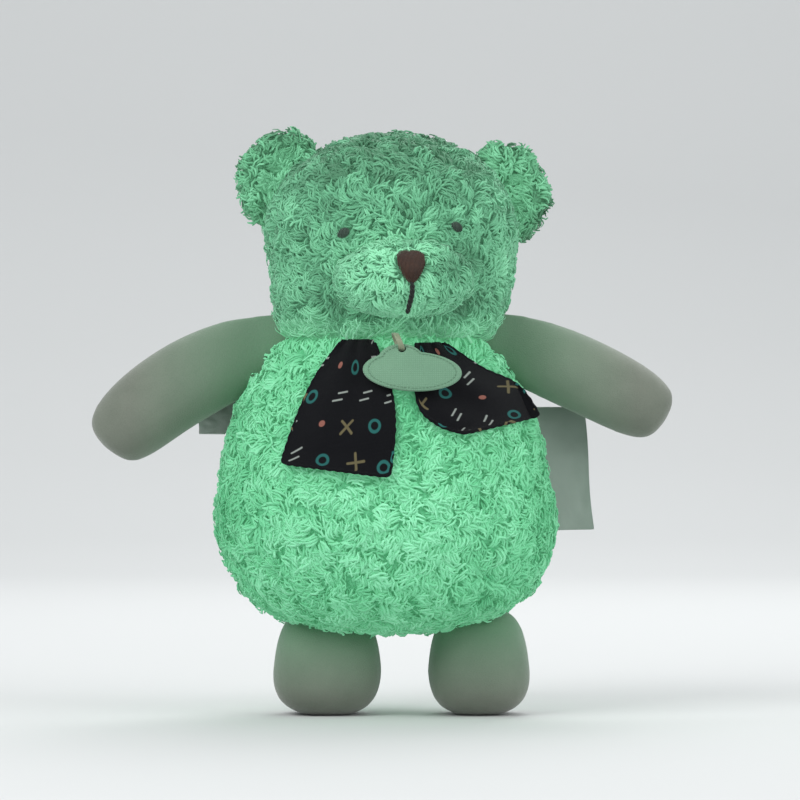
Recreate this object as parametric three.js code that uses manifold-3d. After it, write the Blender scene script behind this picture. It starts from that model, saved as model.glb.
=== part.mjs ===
// A small musical bear of plush, standing on its two feet and looking towards -Y.
// Lengths are millimetres, angles are degrees, and +Z is up from the soles.
// Left and right are the viewer's, so the left arm is the one at -X.
import * as THREE from 'three';
import { mergeVertices } from 'three/addons/utils/BufferGeometryUtils.js';
import Module from 'manifold-3d';

const wasm = await Module();
wasm.setup();

// Clearances that the whole toy shares
const gap = 0.3;
const overrun = 2;
const turningGap = 0.4;
const weldTolerance = 1e-4;

// How finely round things are drawn
const facets = { pin: 4, fine: 10, screw: 12, rod: 16, bore: 20, drum: 22, ring: 24, barrel: 28, loop: 14 };
const curveSteps = { case: 3, nose: 4, gear: 5, plate: 8 };
const roundDetail = { around: 12, rings: 8 };
const labelGrid = { rows: 6, columns: 3 };

// Cloth and stuffing
const skinThickness = 1.5;
const soleCut = 0.5;
const stuffingMouth = 5;

const body = { width: 116.6, depth: 99, height: 102.5, bottom: 27.2, around: 28, rings: 13 };
const bodyOutlineShares = [
  [0, 0], [0.43, 0.015], [0.695, 0.068], [0.858, 0.152], [1, 0.336], [0.981, 0.496],
  [0.926, 0.662], [0.858, 0.761], [0.806, 0.822], [0.703, 0.907], [0.53, 1],
];

const sideShare = 0.3;
const innerDetailShare = 0.625;

const head = { width: 89, depth: 74, height: 69.5, x: 2.2, yaw: 8, around: 26, rings: 11 };
const headMiddleShare = 0.47;
const headTopPower = 2.05;
const headBottomPower = 3;
const headSectionPower = 2.25;
const neckCutShare = 0.94;

const muzzle = { width: 48, height: 27, depth: 36, forward: 33, above: 18.2, around: 20, rings: 10 };
const ear = { width: 32, height: 36, depth: 12, out: 39.3, above: 52.3, back: 3, dish: 5, rim: 4 };
const earLean = { left: 14, right: -10 };
const earDropShare = { left: 0, right: 0.11 };
const eye = { width: 3.9, height: 4.6, depth: 1.6, apart: 38.2, above: 34.3, shift: -1.5 };
const eyeRise = { left: -1.1, right: 1.1 };
const nose = { width: 9.4, height: 11.4, depth: 1.8, above: 21.5, corner: 1.6 };
const mouth = { thread: 1.7, length: 10.5, sides: 8, steps: 5 };

const arms = {
  left: { side: -1, x: 43.5, z: 123.8, length: 62.8, radius: 13.3, firstDroop: 17, lastDroop: 46 },
  right: { side: 1, x: 43, z: 125.8, length: 59.8, radius: 12.5, firstDroop: 19, lastDroop: 31 },
};
const armOutlineShares = [
  [0.82, 0], [0.93, 0.14], [1, 0.42], [0.94, 0.72], [0.78, 0.9], [0.5, 0.975], [0, 1],
];
const armDetail = { around: 16, rings: 8, rootRings: 3 };
const armRootDepthShare = 0.7;

const legs = {
  left: { side: -1, x: 19.3, y: 2, width: 38.2, depth: 38 },
  right: { side: 1, x: 32.4, y: 2, width: 36, depth: 38 },
};
const leg = { hip: 18.5, power: 3.2, footPower: 3.6, around: 16, rings: 10 };
const socket = { armClearance: 0.6, legClearance: 1, around: 16, rings: 10, armReach: 18, lowest: 3 };

// Scarf, tag and labels
const scarf = { thickness: 2.2, bandWidth: 5.5, bandDrop: 4.2, lift: 0.9, rows: 8, columns: 5, ripple: 1.1 };
const tailOutlines = {
  left: {
    inner: [[-3.1, 126.4], [2, 112.3], [3.6, 99], [2.1, 81.9]],
    outer: [[-14.7, 126.4], [-22.9, 114.7], [-29.5, 99.8], [-34, 86.4]],
  },
  right: {
    inner: [[10.6, 124.6], [11.5, 107], [18, 99.5], [27, 96.4]],
    outer: [[21.5, 125.3], [32, 117.6], [42, 111], [50.4, 104.2]],
  },
};
const knot = { width: 8, height: 7, depth: 5, x: 5.7, z: 121.8, around: 12, rings: 8 };
const tag = {
  width: 33, height: 14.4, thickness: 1.5, x: 10, z: 117.2, tilt: -3, lean: 24, lobe: 15.5, lobeRise: 2.6,
  proud: 2.6,
};
const tagHole = 1.4;
const ribbon = { width: 2, thickness: 0.6, loop: 5 };
const sideLabel = { out: 14, height: 42, thickness: 0.8, z: 84, y: 3, back: 9, lean: 4, fold: 2 };
const careLabel = { out: 13, height: 12, thickness: 0.8, z: 102, y: 5, back: 12, lean: -6, fold: 1 };

// Musical movement: everything is placed from the winding arbor
const arbor = { x: -11, z: 68, radius: 1.6 };
const caseBox = {
  left: 17.5, right: 41.5, below: 23, above: 27, back: 28, depth: 27.5, wall: 1.6, corner: 4,
};
const caseScrew = { radius: 0.9, head: 1.6, headHeight: 1, column: 2.4, inset: 3.8, grip: 6 };
const soundSlot = { count: 6, pitch: 3.2, width: 1.4, height: 14, up: -3 };
const boss = { radius: 5.2, bore: 3.1 };
const plate = { thickness: 2, standoff: 2.4, post: 2.6, left: 15.2, right: 39.6, below: 20.5, above: 21.5 };
const plateScrew = { radius: 0.9, head: 1.7, headHeight: 1.1, inset: 3.2, upperX: 14, length: 3.9 };

const barrel = { radius: 11.3, wall: 0.8, height: 9, floor: 1.2, capHeight: 1 };
const crown = { teeth: 30, module: 0.9, faceWidth: 2.2, rise: 1.6, backlash: 0.25 };
const pinion = { teeth: 10, width: 1.8 };
const springLeaf = { thickness: 0.45, turns: 5, steps: 12, innerRadius: 2.3 };
const clutch = { wire: 0.8, pitch: 1.35, turns: 4, steps: 8, sides: 5, clearance: 0.3 };

const drum = {
  radius: 5.5, length: 16.2, start: 18.2, axle: 1, pin: 0.55, pinHeight: 0.6,
  beats: 22, step: 3, stride: 7, sparsity: 6,
};
const greatWheel = { teeth: 30, module: 0.6, width: 1.3, backlash: 0.15 };
const idlerPinion = { teeth: 10, width: 1.7, axle: 0.8 };
const wormWheel = { teeth: 20, module: 0.45, width: 1.2, x: 29.6 };
const worm = {
  starts: 2, pitchRadius: 1.9, thread: 0.42, threadedLength: 6.2, steps: 18, sides: 10, sharpness: 1.4,
  backlash: 0.3, axle: 0.7, pivot: 1.4, pivotShort: 0.3,
};
const fan = { radius: 5.4, height: 4.4, thickness: 0.6, hub: 1.8, standoff: 2.6 };
const bracket = { x: 22.3, post: 2.4, width: 3.4, thickness: 1.2, overhang: 2 };
const upright = { thickness: 1.5, width: 6, clearance: 0.35 };
const comb = {
  tines: 18, pitch: 0.86, gapShare: 0.36, tineLength: 6.4, longest: 2.4, root: 4.6, thickness: 1.1,
  margin: 0.8, padDepth: 4.2, screwShare: 0.27,
};
const combTipGap = 0.25;
const combScrew = { radius: 0.9, head: 1.7, headHeight: 1, length: 5 };
const rootShare = -1.1;
const tipShare = 0.8;
const rootToothShare = 0.6;
const tipToothShare = 0.22;

const key = { width: 24, height: 17, thickness: 2.4, proud: 4.5, hub: 3.4, waist: 2.6, socket: 7 };
const keyWing = { lowShare: 0.75, underShare: 0.5, overShare: 0.45, crestShare: 1.04, dipShare: 0.86 };
const grommet = { outer: 8, inner: 4.4, depth: 1.4, lip: 1.2, flange: 1.2, flangeStandoff: 1.3 };

const finishes = {
  plush: { color: 0xa8dcc0, roughness: 0.95, metalness: 0 },
  headPlush: { color: 0x9ccdb2, roughness: 0.95, metalness: 0 },
  velour: { color: 0xb4bfae, roughness: 0.9, metalness: 0 },
  filling: { color: 0xf2f0ea, roughness: 1, metalness: 0 },
  embroideryDark: { color: 0x2f4a3c, roughness: 0.7, metalness: 0 },
  embroideryBrown: { color: 0x6d4a38, roughness: 0.65, metalness: 0 },
  thread: { color: 0x15181a, roughness: 0.7, metalness: 0 },
  scarf: { color: 0x15171c, roughness: 0.9, metalness: 0 },
  tag: { color: 0xd6e2d2, roughness: 0.85, metalness: 0 },
  satin: { color: 0xd9dcd2, roughness: 0.5, metalness: 0 },
  casePlastic: { color: 0xe6e4dc, roughness: 0.45, metalness: 0 },
  keyMetal: { color: 0xc9ccd0, roughness: 0.28, metalness: 1 },
  steel: { color: 0xa9adb2, roughness: 0.35, metalness: 1 },
  brass: { color: 0xc7a252, roughness: 0.35, metalness: 1 },
  zinc: { color: 0x9a9ea3, roughness: 0.45, metalness: 1 },
  darkPlastic: { color: 0x3d4044, roughness: 0.5, metalness: 0 },
};

const radians = THREE.MathUtils.degToRad;
const halfTurn = Math.PI;
const quarterTurn = Math.PI / 2;
const fullTurn = Math.PI * 2;

// Geometry and solids

function signedVolume(position, index) {
  const a = new THREE.Vector3();
  const b = new THREE.Vector3();
  const c = new THREE.Vector3();
  let volume = 0;
  for (let i = 0; i < index.length; i += 3) {
    a.fromBufferAttribute(position, index[i]);
    b.fromBufferAttribute(position, index[i + 1]);
    c.fromBufferAttribute(position, index[i + 2]);
    volume += a.dot(b.cross(c));
  }
  return volume;
}

// Joins shared vertices, drops triangles that have closed up, and faces the rest outwards
function solidOf(geometry) {
  const bare = new THREE.BufferGeometry();
  bare.setAttribute('position', geometry.getAttribute('position').clone());
  bare.setIndex(geometry.index ? geometry.index.clone() : null);
  const merged = mergeVertices(bare, weldTolerance);
  const position = merged.getAttribute('position');
  const kept = [];
  const source = merged.index.array;
  for (let i = 0; i < source.length; i += 3) {
    const [a, b, c] = [source[i], source[i + 1], source[i + 2]];
    if (a !== b && b !== c && c !== a) {
      kept.push(a, b, c);
    }
  }
  if (signedVolume(position, kept) < 0) {
    kept.reverse();
  }
  return new wasm.Manifold(new wasm.Mesh({
    numProp: 3,
    vertProperties: new Float32Array(position.array),
    triVerts: new Uint32Array(kept),
  }));
}

function geometryOf(solid) {
  const mesh = solid.getMesh();
  const geometry = new THREE.BufferGeometry();
  geometry.setAttribute('position', new THREE.BufferAttribute(mesh.vertProperties, 3));
  geometry.setIndex(new THREE.BufferAttribute(mesh.triVerts, 1));
  return geometry;
}

function united(first, ...others) {
  return geometryOf(others.reduce((sum, next) => sum.add(solidOf(next)), solidOf(first)));
}

function cutBy(first, ...tools) {
  return geometryOf(tools.reduce((rest, tool) => rest.subtract(solidOf(tool)), solidOf(first)));
}

// A solid turned about Z from [radius, height] places that start and end on the axis
function turned(places, around = facets.ring) {
  const geometry = new THREE.LatheGeometry(places.map(([r, z]) => new THREE.Vector2(r, z)), around);
  return geometry.rotateX(quarterTurn);
}

function rod(radius, length, sides = facets.rod) {
  return turned([[0, 0], [radius, 0], [radius, length], [0, length]], sides);
}

function tubePiece(radius, bore, length, sides = facets.bore) {
  return turned([[bore, 0], [radius, 0], [radius, length], [bore, length], [bore, 0]], sides);
}

function block(width, depth, height) {
  return new THREE.BoxGeometry(width, depth, height);
}

function plateOf(shape, thickness, steps = 1) {
  const options = { depth: thickness, steps, bevelEnabled: false, curveSegments: curveSteps.plate };
  return new THREE.ExtrudeGeometry(shape, options);
}

// Turns a piece made along +Z so that it points along another axis
const pointing = {
  front: (geometry) => geometry.rotateX(quarterTurn),
  back: (geometry) => geometry.rotateX(-quarterTurn),
  right: (geometry) => geometry.rotateY(quarterTurn),
};

// Stuffed forms

function splinePlaces(shares, count) {
  const curve = new THREE.SplineCurve(shares.map(([r, h]) => new THREE.Vector2(Math.max(r, 0), h)));
  return curve.getSpacedPoints(count).map((point) => [Math.max(point.x, 0), point.y]);
}

// Squares or flattens a turned form: an oval section of the given depth and power
function ovalSection(geometry, depthShare, power = 2) {
  const position = geometry.getAttribute('position');
  for (let i = 0; i < position.count; i += 1) {
    const angle = Math.atan2(position.getY(i), position.getX(i));
    const reach = Math.abs(Math.cos(angle)) ** power + Math.abs(Math.sin(angle)) ** power;
    const swell = reach ** (-1 / power);
    position.setXY(i, position.getX(i) * swell, position.getY(i) * swell * depthShare);
  }
  return geometry;
}

function bodyPlaces(grow, detailShare = 1) {
  const radius = body.width / 2 + grow;
  const height = body.height + 2 * grow;
  const places = splinePlaces(bodyOutlineShares, Math.round(body.rings * detailShare));
  places[0][0] = 0;
  places.push([0, 1]);
  return places.map(([r, h]) => [r * radius, body.bottom - grow + h * height]);
}

function bodyForm(grow = 0, detailShare = 1) {
  const depthShare = (body.depth / 2 + grow) / (body.width / 2 + grow);
  const around = Math.round(body.around * detailShare);
  return ovalSection(turned(bodyPlaces(grow, detailShare), around), depthShare);
}

// Half the body's width at a height, read off its own outline
function bodyHalfWidth(z) {
  const places = bodyPlaces(0);
  for (let i = 1; i < places.length; i += 1) {
    const [r0, z0] = places[i - 1];
    const [r1, z1] = places[i];
    if (z <= z1 && z1 > z0) {
      return r0 + ((r1 - r0) * Math.max(z - z0, 0)) / (z1 - z0);
    }
  }
  return places[places.length - 2][0];
}

// The chest's depth at a place; past the side it stays at the side's own depth
function bodyFront(x, z) {
  const half = bodyHalfWidth(z);
  const within = Math.max(half ** 2 - x ** 2, (sideShare * half) ** 2);
  return (-Math.sqrt(within) * body.depth) / body.width;
}

const neckZ = body.bottom + body.height;

// Heights here are above the neck
function headPlaces(grow, widthExtra = 0, detailShare = 1) {
  const radius = head.width / 2 + grow + widthExtra;
  const count = Math.round(head.rings * detailShare);
  const middle = headMiddleShare * head.height;
  const places = [[0, -grow]];
  for (let i = 0; i <= count; i += 1) {
    const turn = -1 + (2 * i) / count;
    const u = Math.sin(turn * quarterTurn);
    const power = u < 0 ? headBottomPower : headTopPower;
    const scaled = u < 0 ? u * neckCutShare : u;
    const r = Math.max(1 - Math.abs(scaled) ** power, 0) ** (1 / power);
    const reach = u < 0 ? middle + grow : head.height - middle + grow;
    places.push([r * radius, middle + u * reach]);
  }
  places[places.length - 1][0] = 0;
  return places;
}

function headForm(grow = 0, detailShare = 1) {
  const depthShare = (head.depth / 2 + grow) / (head.width / 2 + grow);
  const around = Math.round(head.around * detailShare);
  return ovalSection(turned(headPlaces(grow, 0, detailShare), around), depthShare, headSectionPower);
}

// The space that the head sweeps as it turns on the neck
function headSweep(grow) {
  const corner = 2 ** (0.5 - 1 / headSectionPower);
  const widest = (head.width / 2) * (corner - 1);
  return turned(headPlaces(grow, widest), head.around).translate(head.x, 0, neckZ + gap);
}

function headFront(x, above) {
  const places = headPlaces(0);
  const next = places.findIndex(([, z]) => z >= above);
  const [r0, z0] = places[next - 1];
  const [r1, z1] = places[next];
  const half = r0 + ((r1 - r0) * (above - z0)) / (z1 - z0);
  const left = Math.max(1 - (Math.abs(x) / half) ** headSectionPower, 0);
  return (-(left ** (1 / headSectionPower)) * half * head.depth) / head.width;
}

// An arm: a turned sausage with a round root, bent along an arc from its shoulder outwards
function armForm(arm, grow = 0, detailShare = 1) {
  const radius = arm.radius + grow;
  const rings = Math.round(armDetail.rings * detailShare);
  const places = splinePlaces(armOutlineShares, rings).map(([r, h]) => [r * radius, h * (arm.length + grow)]);
  places[places.length - 1][0] = 0;
  const root = [];
  for (let i = 0; i < armDetail.rootRings; i += 1) {
    const angle = (quarterTurn * i) / armDetail.rootRings;
    root.push([places[0][0] * Math.sin(angle), -places[0][0] * armRootDepthShare * Math.cos(angle)]);
  }
  const geometry = turned([...root, ...places], Math.round(armDetail.around * detailShare));
  const position = geometry.getAttribute('position');
  for (let i = 0; i < position.count; i += 1) {
    const spot = armSpot(arm, position.getZ(i), position.getX(i));
    position.setXYZ(i, spot.x, position.getY(i), spot.z);
  }
  return geometry;
}

// Where a place along the arm and across it comes to lie; the round root runs straight inwards
function armSpot(arm, along, across) {
  const first = radians(arm.firstDroop);
  const bend = (radians(arm.lastDroop) - first) / arm.length;
  const droop = first + bend * Math.max(along, 0);
  const inwards = Math.min(along, 0);
  const out = (Math.sin(droop) - Math.sin(first)) / bend + inwards * Math.cos(first);
  const down = (Math.cos(first) - Math.cos(droop)) / bend + inwards * Math.sin(first);
  return {
    x: arm.side * (arm.x + out + across * Math.sin(droop)),
    z: arm.z - down + across * Math.cos(droop),
  };
}

// A sphere drawn out to a stuffed form: each of its directions reaches as far as the rule says
function reachingForm(around, rings, reach) {
  const form = new THREE.SphereGeometry(1, around, rings).rotateX(quarterTurn);
  const position = form.getAttribute('position');
  const way = new THREE.Vector3();
  for (let i = 0; i < position.count; i += 1) {
    way.fromBufferAttribute(position, i).normalize();
    way.multiplyScalar(reach(way));
    position.setXYZ(i, way.x, way.y, way.z);
  }
  return form;
}

// A leg is round about its hip's line from side to side, and squarer in the foot below
function legForm(limb, grow = 0, detailShare = 1) {
  const half = limb.width / 2 + grow;
  const deep = limb.depth / 2 + grow;
  const low = leg.hip + soleCut + grow;
  const reach = (way) => {
    const swing = Math.hypot(way.y, way.z);
    if (way.z >= 0) {
      return ((Math.abs(way.x) / half) ** leg.power + (swing / deep) ** leg.power) ** (-1 / leg.power);
    }
    const share = Math.abs(way.z) / swing;
    const power = leg.power + (leg.footPower - leg.power) * share;
    const sides = (Math.abs(way.x) / half) ** power + (Math.abs(way.y) / deep) ** power;
    return (sides + (Math.abs(way.z) / low) ** power) ** (-1 / power);
  };
  const around = Math.round(leg.around * detailShare);
  const form = reachingForm(around, Math.round(leg.rings * detailShare), reach);
  return form.translate(limb.side * limb.x, limb.y, leg.hip);
}

// The hollow that an arm's round root swings in, drawn outwards along the lowered arm
function armSocket(arm, spread) {
  const rootSize = armOutlineShares[0][0];
  const balls = [[0, rootSize, 0], [socket.armReach, 1, 0], [socket.armReach, 1, socket.lowest]];
  return geometryOf(wasm.Manifold.hull(balls.map(([along, share, lowered]) => {
    const radius = arm.radius * share + spread;
    const spot = armSpot(arm, along, 0);
    const ball = new THREE.SphereGeometry(radius, socket.around, socket.rings).rotateX(quarterTurn);
    ball.translate(spot.x - arm.side * arm.x, 0, spot.z - arm.z);
    ball.rotateY(arm.side * radians(lowered));
    return solidOf(ball.translate(arm.side * arm.x, 0, arm.z));
  })));
}

// The hollow that a leg's round top swings in
function legSocket(limb, spread) {
  const half = limb.width / 2 + spread;
  const deep = limb.depth / 2 + spread;
  const form = reachingForm(socket.around, socket.rings, (way) => {
    const swing = Math.hypot(way.y, way.z) / deep;
    return ((Math.abs(way.x) / half) ** leg.power + swing ** leg.power) ** (-1 / leg.power);
  });
  return form.translate(limb.side * limb.x, limb.y, leg.hip);
}

function sockets(grow) {
  return [
    ...Object.values(arms).map((arm) => armSocket(arm, socket.armClearance + grow)),
    ...Object.values(legs).map((limb) => legSocket(limb, socket.legClearance + grow)),
  ];
}

// Pieces of the stuffed bear

const group = new THREE.Group();
const bear = new THREE.Group();
group.add(bear);

function addPiece(parent, name, geometry, finish) {
  const indexed = geometry.index ? geometry : mergeVertices(geometry);
  const mesh = new THREE.Mesh(indexed, new THREE.MeshStandardMaterial(finish));
  mesh.name = name;
  parent.add(mesh);
  return mesh;
}

const keyY = -bodyFront(arbor.x, arbor.z);
const grommetCollar = grommet.inner + grommet.lip;

function keyPassage(radius, from) {
  return pointing.back(rod(radius, body.depth, facets.bore)).translate(arbor.x, from, arbor.z);
}

function bodySkin() {
  const mouth = rod(stuffingMouth, body.height, facets.screw);
  mouth.translate(0, 0, neckZ - overrun - skinThickness);
  const outside = cutBy(bodyForm(), ...sockets(0));
  const inside = cutBy(bodyForm(-skinThickness, innerDetailShare), ...sockets(skinThickness));
  return cutBy(outside, inside, keyPassage(grommetCollar + gap, 0), mouth);
}

// The case's rounded outline, seen from the back with the arbor at its own place
function caseOutline(grow) {
  const shape = new THREE.Shape();
  const left = arbor.x - caseBox.left - grow;
  const right = arbor.x + caseBox.right + grow;
  const low = -(arbor.z + caseBox.above + grow);
  const high = -(arbor.z - caseBox.below - grow);
  const r = caseBox.corner + grow;
  shape.moveTo(left + r, low);
  shape.lineTo(right - r, low);
  shape.absarc(right - r, low + r, r, -quarterTurn, 0);
  shape.absarc(right - r, high - r, r, 0, quarterTurn);
  shape.absarc(left + r, high - r, r, quarterTurn, halfTurn);
  shape.absarc(left + r, low + r, r, halfTurn, halfTurn + quarterTurn);
  return shape;
}

// A slab of the case's outline that starts at one depth and runs back to another
function caseSlab(grow, from, to) {
  const options = { depth: to - from, steps: 1, bevelEnabled: false, curveSegments: curveSteps.case };
  return pointing.back(new THREE.ExtrudeGeometry(caseOutline(grow), options)).translate(0, from, 0);
}

const caseFront = caseBox.back - caseBox.depth;
const caseSplit = caseBox.back - caseBox.depth / 2;

function bodyFilling() {
  const pocket = caseSlab(gap, caseFront - gap, caseBox.back + gap);
  const channel = keyPassage(Math.max(boss.radius, grommetCollar) + gap, caseBox.back);
  const hollows = sockets(skinThickness + gap);
  return cutBy(bodyForm(-skinThickness - gap, innerDetailShare), pocket, channel, ...hollows);
}

function keyGrommet() {
  const back = grommet.flangeStandoff + grommet.flange;
  const ring = turned([
    [grommet.inner, -grommet.depth], [grommetCollar, -grommet.depth], [grommetCollar, grommet.flangeStandoff],
    [grommet.outer, grommet.flangeStandoff], [grommet.outer, back], [grommet.inner, back],
    [grommet.inner, -grommet.depth],
  ], facets.bore);
  return pointing.back(ring).translate(arbor.x, keyY, arbor.z);
}

function addBody() {
  addPiece(bear, 'body_skin', bodySkin(), finishes.plush);
  addPiece(bear, 'body_filling', bodyFilling(), finishes.filling);
  addPiece(bear, 'key_grommet', keyGrommet(), finishes.casePlastic);
}

function addArm(name, arm) {
  const root = armSpot(arm, 0, 0);
  const mouth = pointing.right(rod(stuffingMouth, arm.length, facets.screw)).translate(-arm.length, 0, 0);
  mouth.scale(arm.side, 1, 1).translate(root.x, 0, root.z);
  const inside = armForm(arm, -skinThickness, innerDetailShare);
  const skin = cutBy(armForm(arm), inside, mouth, headSweep(gap));
  const filling = cutBy(armForm(arm, -skinThickness - gap, innerDetailShare), headSweep(gap));
  addPiece(bear, `arm_${name}_skin`, skin, finishes.velour);
  addPiece(bear, `arm_${name}_filling`, filling, finishes.filling);
}

function addLeg(name, limb) {
  const reach = body.width;
  const floor = block(reach, reach, reach).translate(0, 0, -reach / 2);
  const mouth = rod(stuffingMouth, body.height, facets.screw).translate(limb.side * limb.x, limb.y, leg.hip);
  const inside = legForm(limb, -skinThickness, innerDetailShare);
  const skin = cutBy(legForm(limb), inside, floor, mouth);
  const filling = legForm(limb, -skinThickness - gap, innerDetailShare);
  addPiece(bear, `leg_${name}_skin`, skin, finishes.velour);
  addPiece(bear, `leg_${name}_filling`, filling, finishes.filling);
}

// The head, built in its own frame: the origin is the middle of the neck

function earForm(side, name, grow = 0) {
  const outer = new THREE.SphereGeometry(1, roundDetail.around, roundDetail.rings);
  outer.scale(ear.width / 2 + grow, ear.depth / 2 + grow, ear.height / 2 + grow);
  outer.rotateY(radians(earLean[name]));
  const above = ear.above - ear.height * earDropShare[name];
  return outer.translate(side * ear.out, ear.back, above);
}

function earPiece(side, name) {
  const dish = new THREE.SphereGeometry(1, roundDetail.around, roundDetail.rings);
  dish.scale(ear.width / 2 - ear.rim, ear.dish, ear.height / 2 - ear.rim);
  dish.rotateY(radians(earLean[name]));
  const above = ear.above - ear.height * earDropShare[name];
  dish.translate(side * ear.out, ear.back - ear.depth / 2, above);
  return cutBy(earForm(side, name), dish, headForm(gap));
}

function muzzleForm(grow = 0) {
  const form = new THREE.SphereGeometry(1, muzzle.around, muzzle.rings);
  form.rotateX(quarterTurn);
  form.scale(muzzle.width / 2 + grow, muzzle.depth / 2 + grow, muzzle.height / 2 + grow);
  return form.translate(0, -muzzle.forward, muzzle.above);
}

function muzzleFront(x, above) {
  const across = (2 * x) / muzzle.width;
  const up = (2 * (above - muzzle.above)) / muzzle.height;
  const left = Math.max(1 - across ** 2 - up ** 2, 0);
  return -muzzle.forward - (Math.sqrt(left) * muzzle.depth) / 2;
}

// The nose is a rounded shield: broad at the top and pointed below
function nosePad() {
  const shape = new THREE.Shape();
  const half = nose.width / 2;
  const top = nose.height / 2;
  shape.moveTo(-half + nose.corner, top);
  shape.quadraticCurveTo(0, top - nose.corner / 2, half - nose.corner, top);
  shape.quadraticCurveTo(half, top, half, top - nose.corner);
  shape.quadraticCurveTo(half, 0, 0, -top);
  shape.quadraticCurveTo(-half, 0, -half, top - nose.corner);
  shape.quadraticCurveTo(-half, top, -half + nose.corner, top);
  const depth = nose.depth + muzzle.depth / 2;
  const options = { depth, bevelEnabled: false, curveSegments: curveSteps.nose };
  const pad = pointing.front(new THREE.ExtrudeGeometry(shape, options));
  const front = muzzleFront(0, nose.above) - nose.depth;
  pad.translate(0, front + options.depth, nose.above);
  return cutBy(pad, muzzleForm(gap), headForm(gap));
}

// The mouth is one thick stitch that follows the muzzle down from the nose
function mouthStitch() {
  const top = nose.above - nose.height / 2 - gap;
  const places = [];
  for (let i = 0; i <= mouth.steps; i += 1) {
    const above = top - (mouth.length * i) / mouth.steps;
    places.push(new THREE.Vector3(0, muzzleFront(0, above) - mouth.thread / 2 - gap, above));
  }
  const section = new THREE.Shape();
  section.absarc(0, 0, mouth.thread / 2, 0, fullTurn);
  const path = new THREE.CatmullRomCurve3(places);
  const options = { extrudePath: path, steps: mouth.steps, curveSegments: mouth.sides / 2 };
  return cutBy(new THREE.ExtrudeGeometry(section, options), muzzleForm(gap / 2));
}

function eyePiece(side, name) {
  const x = side * (eye.apart / 2) + eye.shift;
  const above = eye.above + eyeRise[name];
  const form = new THREE.SphereGeometry(1, roundDetail.around, roundDetail.rings);
  form.scale(eye.width / 2, eye.depth, eye.height / 2);
  return cutBy(form.translate(x, headFront(x, above), above), headForm(gap));
}

function headSkin() {
  const mouthHole = rod(stuffingMouth, skinThickness + 2 * overrun, facets.screw);
  mouthHole.translate(0, 0, -overrun);
  return cutBy(headForm(), headForm(-skinThickness, innerDetailShare), mouthHole);
}

function addHead() {
  const frame = new THREE.Group();
  frame.position.set(head.x, 0, neckZ + gap);
  frame.rotation.z = radians(head.yaw);
  bear.add(frame);
  addPiece(frame, 'head_skin', headSkin(), finishes.headPlush);
  addPiece(frame, 'head_filling', headForm(-skinThickness - gap, innerDetailShare), finishes.filling);
  addPiece(frame, 'muzzle', cutBy(muzzleForm(), headForm(gap)), finishes.headPlush);
  addPiece(frame, 'nose', nosePad(), finishes.embroideryBrown);
  addPiece(frame, 'mouth_stitch', mouthStitch(), finishes.thread);
  for (const [name, side] of [['left', -1], ['right', 1]]) {
    addPiece(frame, `ear_${name}`, earPiece(side, name), finishes.headPlush);
    addPiece(frame, `eye_${name}`, eyePiece(side, name), finishes.embroideryDark);
  }
}

// Scarf, tag and labels

// A slab of cloth over a grid of places, with the same grid pushed forward as its other face
function clothSlab(grid, thickness) {
  const rows = grid.length;
  const columns = grid[0].length;
  const vertices = [];
  const faces = [];
  const at = (layer, row, column) => layer * rows * columns + row * columns + column;
  for (let layer = 0; layer < 2; layer += 1) {
    for (const place of grid.flat()) {
      vertices.push(place[0], place[1] - layer * thickness, place[2]);
    }
  }
  const quad = (a, b, c, d) => faces.push(a, b, c, a, c, d);
  for (let row = 0; row + 1 < rows; row += 1) {
    for (let column = 0; column + 1 < columns; column += 1) {
      quad(at(0, row, column), at(0, row, column + 1), at(0, row + 1, column + 1), at(0, row + 1, column));
      quad(at(1, row, column), at(1, row + 1, column), at(1, row + 1, column + 1), at(1, row, column + 1));
    }
  }
  const edge = [];
  for (let column = 0; column < columns; column += 1) edge.push([0, column]);
  for (let row = 1; row < rows; row += 1) edge.push([row, columns - 1]);
  for (let column = columns - 2; column >= 0; column -= 1) edge.push([rows - 1, column]);
  for (let row = rows - 2; row > 0; row -= 1) edge.push([row, 0]);
  edge.forEach(([row, column], i) => {
    const [nextRow, nextColumn] = edge[(i + 1) % edge.length];
    quad(at(0, nextRow, nextColumn), at(0, row, column), at(1, row, column), at(1, nextRow, nextColumn));
  });
  const geometry = new THREE.BufferGeometry();
  geometry.setAttribute('position', new THREE.Float32BufferAttribute(vertices, 3));
  geometry.setIndex(faces);
  return geometryOf(solidOf(geometry));
}

// A scarf end lies on the chest, with two soft folds that fan out from the knot
function scarfTail(outline) {
  const edge = (places) => new THREE.SplineCurve(places.map(([x, z]) => new THREE.Vector2(x, z)));
  const inner = edge(outline.inner);
  const outer = edge(outline.outer);
  const grid = [];
  for (let row = 0; row <= scarf.rows; row += 1) {
    const down = row / scarf.rows;
    const start = inner.getPoint(down);
    const end = outer.getPoint(down);
    const line = [];
    for (let column = 0; column <= scarf.columns; column += 1) {
      const across = column / scarf.columns;
      const spot = start.clone().lerp(end, across);
      const fold = scarf.ripple * (1 - Math.cos(across * 2 * fullTurn)) * Math.sin(down * halfTurn) / 2;
      line.push([spot.x, bodyFront(spot.x, spot.y) - scarf.lift - fold, spot.y]);
    }
    grid.push(line);
  }
  return clothSlab(grid, scarf.thickness);
}

function scarfBand() {
  const high = neckZ - gap;
  const low = high - scarf.bandWidth;
  const outline = [];
  const out = bodyHalfWidth(low + scarf.bandDrop) + scarf.thickness;
  outline.push([out - 2 * scarf.thickness, low], [out, low], [out, high], [out - 2 * scarf.thickness, high]);
  const ring = turned([...outline, outline[0]], facets.barrel);
  const oval = ovalSection(ring, body.depth / body.width);
  return cutBy(oval, bodyForm(gap));
}

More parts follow.
